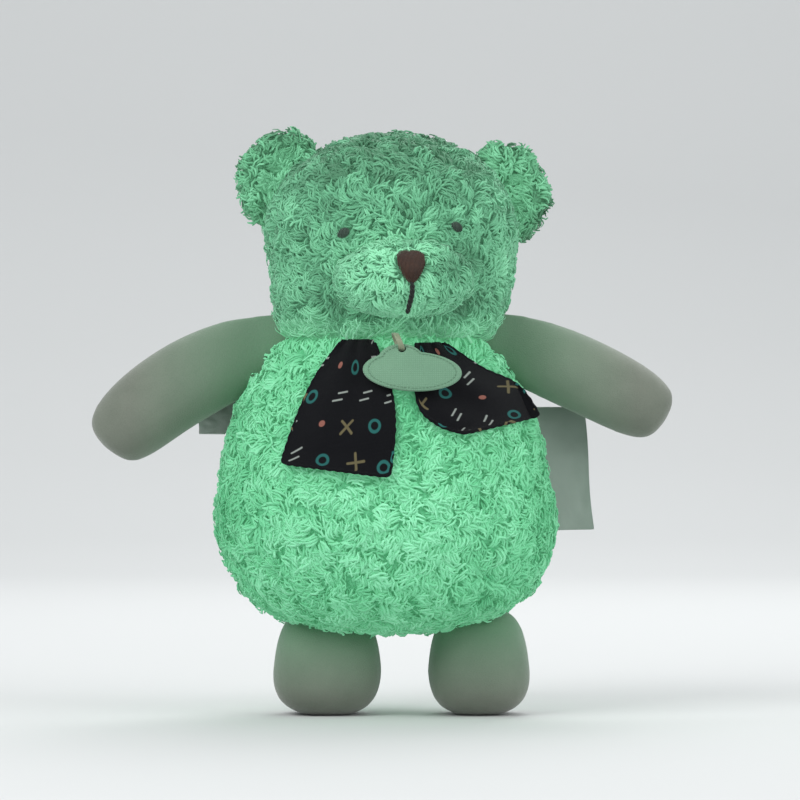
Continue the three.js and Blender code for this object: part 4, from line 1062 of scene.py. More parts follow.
    def _curls(self, points: Points, normals: Points, lengths: np.ndarray,
               rng: np.random.Generator) -> tuple[np.ndarray, np.ndarray]:
        """Places a curl on every root, combed by a slow swirl and gathered in tufts.

        Args:
            points: The roots.
            normals: The skin's normals there.
            lengths: Each curl's share of the full length.
            rng: Where the draws come from.

        Returns:
            The points of each curl and their tones.
        """
        count = len(points)
        centres = self._tufts(points, rng)
        flow, bend, tuft = self._flow(centres)
        if self.comb is not None:
            flow += self.comb(points)
        flow += rng.normal(0.0, self.spread, (count, 3))
        flow -= normals * np.sum(flow * normals, axis=1)[:, None]
        flow /= np.maximum(np.linalg.norm(flow, axis=1), 1e-6)[:, None]
        side = np.cross(normals, flow)
        kind = np.where(rng.random(count) < 0.3, rng.integers(2, 4, count), (bend > 0).astype(int))
        middles, outs, shares = (np.stack(values)[kind] for values in zip(*(lock.rings() for lock in LOCKS)))
        size = self.length * lengths * rng.uniform(0.75, 1.2, count)
        girth = self.girth * rng.uniform(0.75, 1.25, count)
        curl = rng.uniform(0.6, 1.4, count)
        rise = self.lift * rng.uniform(0.75, 1.25, count) * (1 + 1.1 * tuft)
        local = middles * size[:, None, None]
        local[..., 1] *= curl[:, None]
        local[..., 2] *= rise[:, None]
        local += outs * girth[:, None, None]
        axes = np.stack((flow, side, normals), axis=1)
        verts = points[:, None] + np.einsum("nvk,nkc->nvc", local, axes)
        pull = centres - points
        pull -= normals * np.sum(pull * normals, axis=1)[:, None]
        verts += self.gather * np.clip(shares, 0, 1)[..., None] ** 1.3 * pull[:, None]
        fleck = rng.normal(0.0, 0.05, count)[:, None]
        tones = 0.36 + 0.26 * shares + fleck + 0.4 * (bend + 0.6 * tuft)[:, None]
        # The glow rule adds painted light and shade to each curl's tone.
        if self.glow is not None:
            tones = tones + self.glow(points)[:, None]
        return verts, np.clip(tones, 0.0, 1.0)


def covered_by(*pieces: Piece, reach: float, short: float = 0.2) -> Growth:
    """Makes a rule that shortens the pile under the pieces that press on it.

    Args:
        pieces: What lies on the pile.
        reach: How far above the skin a piece still presses on the pile.
        short: What is left of a curl's length there.

    Returns:
        The rule, which gives each root's share of the full length.
    """
    below = 2 * MM
    trees = []
    for piece in pieces:
        mesh = piece.data
        trees.append(BVHTree.FromPolygons([v.co for v in mesh.vertices], [p.vertices for p in mesh.polygons]))

    def pressed(spot: Vector, way: Vector) -> bool:
        """Tells whether something lies over a root."""
        return any(tree.ray_cast(spot - way * below, way, reach + below)[0] is not None for tree in trees)

    def rule(points: Points, normals: Points) -> np.ndarray:
        """Gives each root its share."""
        return np.array([short if pressed(Vector(p), Vector(n)) else 1.0 for p, n in zip(points, normals)])

    return rule


# The bear's forms

_low, _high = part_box("body_skin")
BODY_Y = (_low[1] + _high[1]) / 2
NECK_Z = 129.7 * MM


class Hand(Enum):
    """Which side of the bear a part is on, seen in the photograph."""

    LEFT = "left"
    RIGHT = "right"

    @property
    def side(self) -> int:
        """The sign of X on that side."""
        return -1 if self is Hand.LEFT else 1


def bump(*terms: np.ndarray) -> np.ndarray:
    """A soft bump of height 1 where all the terms are 0."""
    return np.exp(-sum(term**2 for term in terms))


def ramp(value: np.ndarray, length: float) -> np.ndarray:
    """A share that grows from 0 to 1 while the value grows from 0 to the length."""
    return np.clip(value / length, 0, 1)


def held(share: float) -> float:
    """Keeps a share between 0 and 1."""
    return min(max(share, 0), 1)


@dataclass(frozen=True)
class Patch:
    """A soft round patch of a surface: its middle, its reach each way and its strength."""

    x: float
    z: float
    across: float
    up: float
    strength: float

    def at(self, x: np.ndarray, z: np.ndarray) -> np.ndarray:
        """The patch's strength at places."""
        return self.strength * bump((x - self.x) / self.across, (z - self.z) / self.up)


def oval(points: Points, depth_share: float, power: float = 2.0) -> Points:
    """Gives a turned form an oval or squarer section.

    Args:
        points: The form's points.
        depth_share: Its depth as a share of its width.
        power: How square the section is. 2 is an oval.

    Returns:
        The points in the new section.
    """
    x, y, z = points.T
    angle = np.arctan2(y, x)
    reach = np.abs(np.cos(angle)) ** power + np.abs(np.sin(angle)) ** power
    swell = reach ** (-1 / power)
    return np.column_stack((x * swell, y * swell * depth_share, z))


def turned_z(points: Points, degrees: float) -> Points:
    """Turns points about the Z axis by an angle in degrees."""
    x, y, z = points.T
    a = math.radians(degrees)
    return np.column_stack((x * math.cos(a) - y * math.sin(a), x * math.sin(a) + y * math.cos(a), z))


def stuffed(piece: Piece, cloth: Material, body: str, slot: str, fill: float, *nodes: str) -> Piece:
    """Args:
        piece: The skin.
        cloth: Its material.
        body: The CAD body that it rides on.
        slot: The record's material slot.
        fill: How full it is. Not used.
        nodes: The nodes that it stands for.

    Returns:
        The same object.
    """
    dress(piece, cloth, body, slot, *nodes)
    return piece


def creased(piece: Piece, plane: float, depth: float, half: float = 0.9 * MM) -> Piece:
    """Draws a sewn seam of a depth into a limb, along a plane across Y."""
    normals = rows_of(piece.data.vertices, "normal")
    return reshape(piece, lambda p: p - normals * (depth * bump((p[:, 1] - plane) / half))[:, None])


@dataclass
class Torso:
    """The body: a pear-shaped skin, packed with stuffing, under a curly coat.

    The skin lies an inset below the photographed outline, because the coat fills the rest. The painted
    patches of light and shade are in millimetres.
    """

    width: float = 116.6 * MM
    depth: float = 99 * MM
    height: float = 102.5 * MM
    bottom: float = 27.2 * MM
    inset: float = 1.9 * MM
    top_inset: float = 0.4 * MM
    swell: float = 0.6 * MM
    seam: float = 2 * MM
    closing: float = 4 * MM
    slump: float = 0.06
    slump_z: float = 46 * MM
    slump_reach: float = 21 * MM
    ruff_z: float = 119 * MM
    ruff: float = 0.2
    outline_steps: int = 36
    outline: Outline = (
        (0, 0), (0.43, 0.015), (0.695, 0.068), (0.858, 0.152), (1, 0.336), (0.981, 0.496),
        (0.926, 0.662), (0.858, 0.761), (0.806, 0.822), (0.703, 0.907), (0.53, 1), (0, 1),
    )
    # Painted light and shade: a lit patch on the belly, and shaded patches low on the right and between the
    # scarf's ends.
    lights: tuple[Patch, ...] = (
        Patch(-2, 64, 30, 20, 0.3), Patch(34, 42, 14, 12, -0.25), Patch(8.5, 103, 5, 13, -0.5),
    )
    skin: Piece | None = field(default=None, repr=False)

    def profile(self, inset: float) -> list[tuple[float, float]]:
        """Works out the half outline at an inset.

        Args:
            inset: How far the outline lies inside the photographed one.

        Returns:
            The radius and height of each place, from the bottom up.
        """
        radius = self.width / 2 - inset
        height = self.height - inset - min(inset, self.top_inset)
        places = spline(self.outline[:-1], self.outline_steps)
        line = [(max(r, 0) * radius, self.bottom + inset + h * height) for r, h in places]
        line[0] = (0.0, line[0][1])
        return [*line, (0.0, line[-1][1])]

    def side(self, z: float) -> float:
        """Half the body's width at a height."""
        line = self.profile(0.0)[:-1]
        return float(np.interp(z, [p[1] for p in line], [p[0] for p in line]))

    def front(self, x: float, z: float, lift: float = 0.0) -> float:
        """Finds the chest's Y at a place.

        Args:
            x: The place across.
            z: The place's height.
            lift: How far in front of the skin.

        Returns:
            The Y coordinate.
        """
        half = self.side(z)
        within = max(half**2 - x**2, (0.3 * half) ** 2)
        return BODY_Y - math.sqrt(within) * self.depth / self.width - lift

    def _slumped(self, points: Points) -> Points:
        """Fills out the low right side, where the stuffing has settled."""
        x, y, z = points.T
        fuller = 1 + self.slump * bump((z - self.slump_z) / self.slump_reach)
        return np.column_stack((np.where(x > 0, x * fuller, x), y, z))

    def build_skin(self) -> Piece:
        """Builds and stuffs the skin.

        Returns:
            The skin.
        """
        piece = spun("body_cloth", self.profile(self.inset + self.swell), 64)
        share = (self.depth / 2 - self.inset) / (self.width / 2 - self.inset)
        reshape(piece, lambda p: self._slumped(oval(p, share)) + np.array((0.0, BODY_Y, 0.0)))
        top = self.bottom + self.height - self.closing
        piece = puffed(piece, 3.4 * MM, 1.8 * MM, lambda p: abs(p.y - BODY_Y) < self.seam or p.z > top)
        self.skin = settle(smooth(piece), "body_cloth")
        return self.skin

    def dress(self, cover: Sequence[Piece]) -> None:
        """Grows the coat, dresses the skin and hides the parts that it stands for.

        Args:
            cover: What presses on the coat.
        """
        backing = PlushBacking("body_backing", Tone.BELLY).build()
        stuffed(self.skin, backing, "torso", "body_plush", 0.8, "body_skin", "body_filling")
        Pile(
            "body_pile", "torso", "body_plush", Plush("body_plush_pile", Tone.BELLY), density=1.26e6,
            length=4.3 * MM, girth=0.46 * MM, spread=0.13, seed=11, pieces=6, swirl=115.0, lift=0.8,
            thin=self._ruffed(covered_by(*cover, reach=7 * MM)), comb=self._combed, glow=self._painted_light,
        ).grow(self.skin)

    def _combed(self, points: Points) -> Points:
        """Combs the coat up round the neck."""
        up = ramp(points[:, 2] - 120 * MM, 5 * MM)
        return np.column_stack((np.zeros_like(up), np.zeros_like(up), 0.9 * up))

    def _painted_light(self, points: Points) -> np.ndarray:
        """Paints light on the belly, and paints shade at the sides, low on the right and between the scarf's
        ends.

        Args:
            points: The roots.

        Returns:
            What each root's tone gains.
        """
        x, y, z = points.T / MM
        front = ramp(BODY_Y / MM - y, 20)
        edge = ramp(np.abs(x - 1) - 42, 14)
        # Painted light in the patches, and painted shade towards the sides.
        return front * sum(light.at(x, z) for light in self.lights) - 0.38 * edge

    def _ruffed(self, rule: Growth) -> Growth:
        """Lets the coat grow longer round the neck, where it hides the scarf's band."""
        return lambda p, normals: rule(p, normals) * (1 + self.ruff * ramp(p[:, 2] - self.ruff_z, 5 * MM))


@dataclass
class Head:
    """The head, its muzzle and their coats.

    Heights count from the neck's seam. The muzzle's size and middle are in the head's own frame, which is
    turned by the yaw.
    """

    width: float = 89 * MM
    depth: float = 74 * MM
    height: float = 69.5 * MM
    x: float = 2.2 * MM
    yaw: float = 8.0
    inset: float = 2.0 * MM
    low_inset: float = 0.4 * MM
    swell: float = 0.5 * MM
    seam: float = 1.8 * MM
    closing: float = 5 * MM
    middle: float = 0.47
    top_power: float = 2.05
    bottom_power: float = 3.0
    section_power: float = 2.25
    neck_cut: float = 0.94
    outline_steps: int = 36
    slim: tuple[float, float] = (0.06, 0.025)
    jowl: float = 0.07
    eye_hollow: Patch = Patch(17 * MM, 36 * MM, 10 * MM, 7 * MM, 1.6 * MM)
    brow: Patch = Patch(0.0, 47 * MM, 26 * MM, 9 * MM, 1.0 * MM)
    snout_size: Place = (24 * MM, 18 * MM, 13.5 * MM)
    snout_middle: Place = (0.0, -33 * MM, 18.2 * MM)
    snout_inset: float = 1.4 * MM
    nose_tip: Place = (0.0, -50 * MM, 24 * MM)
    lip: Place = (-5 * MM, -50 * MM, 14 * MM)
    base: Piece | None = field(default=None, repr=False)
    snout: Piece | None = field(default=None, repr=False)

    @property
    def foot(self) -> float:
        """The height of the neck's seam."""
        return NECK_Z + 0.3 * MM

    def place(self, points: Points) -> Points:
        """Brings points from the head's own frame to the bear's."""
        return turned_z(points, self.yaw) + np.array((self.x, BODY_Y, self.foot))

    def own(self, points: Points) -> Points:
        """Brings points from the bear's frame to the head's own."""
        return turned_z(points - np.array((self.x, BODY_Y, self.foot)), -self.yaw)

    def spot(self, place: Place) -> np.ndarray:
        """Brings one place from the head's own frame to the bear's."""
        return self.place(np.array([place]))[0]

    def profile(self, inset: float) -> list[tuple[float, float]]:
        """Works out the half outline at an inset.

        Args:
            inset: How far the outline lies inside the photographed one.

        Returns:
            The radius and height of each place, from the neck up.
        """
        radius = self.width / 2 - inset
        middle = self.middle * self.height
        low = min(inset, self.low_inset)
        line = [(0.0, low)]
        for i in range(self.outline_steps + 1):
            u = math.sin((-1 + 2 * i / self.outline_steps) * math.pi / 2)
            power = self.bottom_power if u < 0 else self.top_power
            scaled = u * self.neck_cut if u < 0 else u
            r = max(1 - abs(scaled) ** power, 0) ** (1 / power)
            reach = middle - low if u < 0 else self.height - middle - inset
            line.append((r * radius, middle + u * reach))
        line[-1] = (0.0, line[-1][1])
        return line

    def front(self, x: float, above: float) -> float:
        """Finds the face's Y in the head's own frame.

        Args:
            x: The place across.
            above: The height over the neck's seam.

        Returns:
            The Y coordinate.
        """
        line = self.profile(0.0)
        half = float(np.interp(above, [p[1] for p in line], [p[0] for p in line]))
        left = max(1 - (abs(x) / half) ** self.section_power, 0)
        return -(left ** (1 / self.section_power)) * half * self.depth / self.width

    def snout_front(self, x: float, above: float) -> float:
        """Finds the muzzle's Y in the head's own frame, over its coat's roots.

        Args:
            x: The place across.
            above: The height over the neck's seam.

        Returns:
            The Y coordinate.
        """
        wide, deep, high = self.snout_size
        _, y, z = self.snout_middle
        across, up = x / wide, (above - z) / high
        return y - math.sqrt(max(1 - across**2 - up**2, 0)) * deep

    def build_base(self) -> Piece:
        """Builds and stuffs the head's skin.

        Returns:
            The skin.
        """
        piece = spun("head_cloth", self.profile(self.inset + self.swell), 56)
        share = (self.depth / 2 - self.inset) / (self.width / 2 - self.inset)
        reshape(piece, lambda p: self.place(self._modelled(oval(p, share, self.section_power))))
        seam_y = BODY_Y + 1 * MM
        low = self.foot + self.closing
        piece = puffed(piece, 3.2 * MM, 1.6 * MM, lambda p: abs(p.y - seam_y) < self.seam or p.z < low)
        self.base = settle(smooth(piece), "head_cloth")
        return self.base

    def _modelled(self, points: Points) -> Points:
        """Hollows the eye line, fills the brow and slims the cheeks down to the jowls.

        Args:
            points: The skin's points.

        Returns:
            The points moved.
        """
        x, y, z = points.T
        face = ramp(-y, 0.3 * self.depth)
        y = y + face * (self.eye_hollow.at(np.abs(x), z) - self.brow.at(x, z))
        slim = np.where(x < 0, *self.slim) * bump((z - 22 * MM) / (9 * MM))
        full = self.jowl * bump((z - 5 * MM) / (6 * MM))
        return np.column_stack((x * (1 - slim + full), y, z))

    def build_snout(self) -> Piece:
        """Builds the muzzle's patch, which bulges over the lower face.

        Returns:
            The muzzle's skin.
        """
        size = np.array(self.snout_size) - self.snout_inset

        def shape(points: Points) -> Points:
            """Sags the ball a little and puts it on the face."""
            x, y, z = points.T
            low = np.clip(-z, 0, 1)
            sag, fuller = 1 + 0.05 * low, 1 + 0.06 * np.abs(x) * low
            spots = np.column_stack((x * size[0] * sag, y * size[1] * fuller, z * size[2]))
            return self.place(spots + np.array(self.snout_middle))

        piece = puffed(reshape(ball(40, 24), shape), 2.6 * MM, 0.8 * MM, lambda p: False)
        self.snout = settle(smooth(piece), "muzzle_cloth")
        return self.snout

    def dress(self, face: Sequence[Piece]) -> None:
        """Grows the head's and the muzzle's coats.

        Args:
            face: The eyes, nose and mouth, which press on the coat.
        """
        backing = PlushBacking("head_backing", Tone.HEAD).build()
        stuffed(self.base, backing, "head", "head_plush", 0.8, "head_skin", "head_filling")
        stuffed(self.snout, backing, "head", "head_plush", 0.8, "muzzle")
        Pile(
            "head_pile", "head", "head_plush", Plush("head_plush_pile", Tone.HEAD), density=1.3e6,
            length=4.0 * MM, girth=0.44 * MM, spread=0.14, seed=21, pieces=3, swirl=120.0, lift=0.85,
            thin=self._bearded(covered_by(*face, self.snout, reach=3 * MM, short=0.0)),
            comb=self._combed, glow=self._painted_light,
        ).grow(self.base)
        Pile(
            "muzzle_pile", "head", "head_plush", Plush("muzzle_plush_pile", Tone.HEAD), density=1.4e6,
            length=3.2 * MM, girth=0.41 * MM, spread=0.14, seed=23, swirl=125.0, lift=0.75,
            thin=covered_by(*face, reach=5 * MM, short=0.0), comb=self._combed, glow=self._painted_light,
        ).grow(self.snout)

    def _bearded(self, rule: Growth) -> Growth:
        """Lets the coat grow longer under the chin, and keeps it short in the muzzle's crease.

        Args:
            rule: What presses on the coat.

        Returns:
            The rule with the beard.
        """

        def grown(points: Points, normals: Points) -> np.ndarray:
            """Gives each root its share."""
            low = ramp(self.foot + 10 * MM - points[:, 2], 7 * MM)
            inner = ramp(32 * MM - np.abs(points[:, 0] - self.x), 8 * MM)
            return rule(points, normals) * (1 + (0.7 + 0.75 * inner) * low) * (1 - 0.4 * self._crease(points))

        return grown

    def _crease(self, points: Points) -> np.ndarray:
        """Tells how near each place is to the crease under the muzzle.

        Args:
            points: The places.

        Returns:
            A share from 0 to 1 for each.
        """
        x, y, z = self.own(points).T
        wide, _, high = self.snout_size
        out = np.hypot(x / wide, (z - self.snout_middle[2]) / high)
        return bump((out - 1.02) / 0.11) * ramp(17 * MM - z, 6 * MM) * (y < -18 * MM)

    def _combed(self, points: Points) -> Points:
        """Combs the coat softly outwards from the nose, and down and outwards under the chin.

        Args:
            points: The roots.

        Returns:
            A way to lie for each root.
        """
        away = points - self.spot(self.nose_tip)
        way = 0.35 * away / np.maximum(np.linalg.norm(away, axis=1), 1e-6)[:, None]
        way[:, 2] -= 1.1 * ramp(self.foot + 12 * MM - points[:, 2], 8 * MM)
        out = points[:, :2] - np.array((self.x, BODY_Y))
        out /= np.maximum(np.linalg.norm(out, axis=1), 1e-6)[:, None]
        way[:, :2] += 1.6 * ramp(self.foot + 6 * MM - points[:, 2], 4 * MM)[:, None] * out
        return way

    def _painted_light(self, points: Points) -> np.ndarray:
        """Paints light round the lip and chin, and paints shade beside the nose, in the crease and up to the
        crown.

        Args:
            points: The roots.

        Returns:
            What each root's tone gains.
        """
        near = bump(np.linalg.norm(points - self.spot(self.lip), axis=1) / (20 * MM))
        crown = ramp(points[:, 2] - self.foot - 34 * MM, 34 * MM)
        x, y, z = self.own(points).T / MM
        nose_side_shade = bump((x - 14) / 8, (z - 24) / 8) * (y < -18)
        chin = bump((z - 2) / 5) * (y < 0)
        # Painted light round the lip and chin; painted shade in the crease, beside the nose and up to the
        # crown.
        return 0.42 * near - 0.55 * crown - 0.35 * self._crease(points) - 0.4 * nose_side_shade + 0.3 * chin


@dataclass
class Ear:
    """A round ear, dished at the front, and its coat.

    It leans by an angle in degrees and hangs lower by the drop, a share of its height.
    """

    hand: Hand
    head: Head
    lean: float
    drop: float
    shift: float
    width: float = 32 * MM
    height: float = 36 * MM
    depth: float = 12 * MM
    inset: float = 1.8 * MM
    out: float = 39.3 * MM
    back: float = 3 * MM
    above: float = 52.3 * MM
    dish: float = 1.25
    dish_share: float = 0.72

    def build(self) -> None:
        """Builds the ear's skin and its coat."""
        name = self.hand.value
        skin = rounded(reshape(ball(40, 24), self._shaped))
        skin = settle(smooth(skin), f"ear_{name}_cloth")
        backing = PlushBacking(f"ear_{name}_backing", Tone.EAR).build()
        stuffed(skin, backing, "head", "head_plush", 0.5, f"ear_{name}")
        Pile(
            f"ear_{name}_pile", "head", "head_plush", Plush(f"ear_{name}_plush", Tone.EAR), density=1.4e6,
            length=3.5 * MM, girth=0.43 * MM, spread=0.16, seed=30 + self.hand.side, swirl=125.0, lift=0.8,
            thin=covered_by(self.head.base, reach=3 * MM, short=0.0), glow=self._painted_light,
        ).grow(skin)

    @property
    def middle(self) -> Place:
        """The ear's middle in the head's own frame."""
        return self.hand.side * self.out + self.shift, self.back, self.above - self.drop * self.height

    def _shaped(self, points: Points) -> Points:
        """Dishes a ball, leans it and sets it on the head.

        Args:
            points: The points of a ball of radius 1.

        Returns:
            The ear's points.
        """
        x, y, z = points.T
        far = np.sqrt(x**2 + z**2)
        dish = np.clip(1 - (far / self.dish_share) ** 2, 0, 1) ** 1.4 * (y < 0)
        x = x * (self.width / 2 - self.inset)
        y = (y + dish * self.dish) * (self.depth / 2 - self.inset)
        z = z * (self.height / 2 - self.inset)
        a = math.radians(self.lean)
        turned = (x * math.cos(a) + z * math.sin(a), y, z * math.cos(a) - x * math.sin(a))
        return self.head.place(np.column_stack(turned) + np.array(self.middle))

    def _painted_light(self, points: Points) -> np.ndarray:
        """Lightens the coat in the dish and paints shade on the rim, where the glow falls off.

        Args:
            points: The roots.

        Returns:
            What each root's tone gains.
        """
        away = (points - self.head.spot(self.middle))[:, (0, 2)]
        far = np.linalg.norm(away, axis=1) / (self.width / 2)
        # Lighter over the whole ear, with painted shade from halfway out to the rim.
        return 0.25 - 0.95 * np.clip(far - 0.5, 0, 0.5)


@dataclass
class Arm:
    """A sausage of velour that leaves the shoulder and droops.

    It starts at the shoulder's place and follows an arc from the first angle below level to the last, in
    degrees. The root is pinched flat and tucked into the body.
    """

    hand: Hand
    x: float
    z: float
    length: float
    radius: float
    first: float
    last: float
    slack: float = 0.7 * MM
    seam: float = 1.3 * MM
    crease: float = 0.35 * MM
    tuck: float = 6 * MM
    pinch: float = 0.36
    outline_steps: int = 34
    outline: Outline = (
        (0.8, -0.24), (0.87, -0.02), (0.95, 0.14), (1, 0.42), (0.965, 0.72), (0.83, 0.89),
        (0.56, 0.972), (0, 1),
    )

    def build(self, finish: Material) -> Piece:
        """Builds, stuffs and dresses the arm.

        Args:
            finish: The velour.

        Returns:
            The arm.
        """
        name = f"arm_{self.hand.value}"
        radius, length = self.radius - self.slack, self.length - self.slack
        line = [(max(r, 0) * radius, h * length) for r, h in spline(self.outline, self.outline_steps)]
        line[-1] = (0.0, line[-1][1])
        r0, z0 = line[0]
        turns = np.linspace(0, math.pi / 2, 9)[:-1]
        root = [(r0 * math.sin(a), z0 - 0.7 * r0 * math.cos(a)) for a in turns]
        piece = reshape(spun(name, [*root, *line], 40), self._bent)
        piece = puffed(piece, 2.4 * MM, 1.0 * MM, lambda p: abs(p.y - BODY_Y) < self.seam)
        piece = creased(settle(smooth(piece), f"{name}_velour"), BODY_Y, self.crease)
        body = f"{self.hand.value}_arm"
        return stuffed(piece, finish, body, "velour", 0.75, f"{name}_skin", f"{name}_filling")

    def _bent(self, points: Points) -> Points:
        """Bends the straight form along its arc from the shoulder.

        Args:
            points: The straight arm's points, with its length along Z.

        Returns:
            The arm's points in the bear's frame.
        """
        across, y, along = points.T
        first = math.radians(self.first)
        bend = (math.radians(self.last) - first) / self.length
        droop = first + bend * np.maximum(along, 0)
        inwards = np.minimum(along, 0)
        out = (np.sin(droop) - math.sin(first)) / bend + inwards * math.cos(first)
        down = (math.cos(first) - np.cos(droop)) / bend + 0.55 * inwards * math.sin(first)
        x = self.hand.side * (self.x + out + across * np.sin(droop))
        full = ramp(along + self.tuck / 2, 0.42 * self.length)
        y = y * (self.pinch + (1 - self.pinch) * full * full * (3 - 2 * full))
        return np.column_stack((x, y + BODY_Y, self.z - down + across * np.cos(droop)))


@dataclass
class Leg:
    """A short soft foot of velour: half a squarish ball above the hip's height, and a blunt sole below."""

    hand: Hand
    x: float
    width: float
    y: float = 2 * MM
    depth: float = 38 * MM
    hip: float = 18.5 * MM
    slack: float = 0.6 * MM
    seam: float = 1.3 * MM
    crease: float = 0.3 * MM
    sole: float = 0.25 * MM
    power: float = 2.8
    foot_power: float = 2.9
    narrowing: float = 0.07
    flare: float = 0.035

    def build(self, finish: Material) -> Piece:
        """Builds, stuffs and dresses the leg.

        Args:
            finish: The velour.

        Returns:
            The leg.
        """
        name = f"leg_{self.hand.value}"
        plane = BODY_Y + self.y
        piece = reshape(ball(48, 32), self._reached)
        piece = puffed(piece, 2.4 * MM, 0.9 * MM, lambda p: abs(p.y - plane) < self.seam or p.z < 2 * MM)
        piece = creased(settle(smooth(piece), f"{name}_velour"), plane, self.crease)
        reshape(piece, lambda p: np.column_stack((p[:, 0], p[:, 1], np.maximum(p[:, 2], self.sole))))
        body = f"{self.hand.value}_leg"
        return stuffed(piece, finish, body, "velour", 0.75, f"{name}_skin", f"{name}_filling")

    def _reached(self, points: Points) -> Points:
        """Draws a ball out to the foot's form.

        Args:
            points: The points of a ball of radius 1.

        Returns:
            The leg's points in the bear's frame.
        """
        ways = points / np.linalg.norm(points, axis=1)[:, None]
        half, deep = self.width / 2 - self.slack, self.depth / 2 - self.slack
        low = self.hip + 0.3 * MM
        x, y, z = np.abs(ways.T)
        swing = np.hypot(y, z)
        upper = ((x / half) ** self.power + (swing / deep) ** self.power) ** (-1 / self.power)
        power = self.power + (self.foot_power - self.power) * z / np.maximum(swing, 1e-9)
        lower = ((x / half) ** power + (y / deep) ** power + (z / low) ** power) ** (-1 / power)
        spots = ways * np.where(ways[:, 2] >= 0, upper, lower)[:, None]
        height = spots[:, 2] + self.hip
        narrow = 1 - self.narrowing * ramp(height - 15 * MM, 12 * MM)
        outer = spots[:, 0] * self.hand.side > 0
        spots[:, 0] *= narrow * (1 + self.flare * bump((height - 7 * MM) / (6 * MM)) * outer)
        return spots + np.array((self.hand.side * self.x, BODY_Y + self.y, self.hip))


# Face


@dataclass
class Satin:
    """Parallel threads laid side by side over a shape on the head, seen in the head's own frame.

    The outline gives the shape's lowest and highest place at a share across it, and the front gives the
    surface below. The threads stand out by the proud value in the middle, and lean by a slope.
    """

    name: str
    node: str
    slot: str
    outline: Callable[[float], tuple[float, float]]
    front: Callable[[float, float], float]
    count: int
    width: float
    proud: float
    lean: float = 0.0
    overlap: float = 0.62
    steps: int = 8

    def sew(self, head: Head, finish: Material) -> Piece:
        """Lays the threads.

        Args:
            head: The head that they are sewn on.
            finish: The thread.

        Returns:
            The stitched shape.
        """
        threads = []
        for i in range(self.count):
            share = (i + 0.5) / self.count
            path = head.place(np.array([self._spot(share, k / self.steps) for k in range(self.steps + 1)]))
            threads.append(tube(f"{self.name}_{i}", path, self._swell, 6))
        return dress(joined(self.name, threads), finish, "head", self.slot, self.node)

    def _swell(self, t: float) -> float:
        """A thread's radius at a share of its length."""
        return self.width / self.count * self.overlap * (0.75 + 0.25 * math.sin(math.pi * t))

    def _spot(self, share: float, t: float) -> Place:
        """Finds one place of a thread.

        Args:
            share: The thread's share across the shape.
            t: The place's share along the thread.

        Returns:
            The place in the head's own frame.
        """
        low, high = self.outline(share)
        z = low + (high - low) * t
        along = math.sin(math.pi * (0.08 + 0.84 * t)) ** 0.6
        crown = along * math.sin(math.pi * (0.1 + 0.8 * share)) ** 0.5
        x = (share - 0.5) * self.width + self.lean * (z - (low + high) / 2)
        return x, self.front(x, z) - self.proud * crown, z


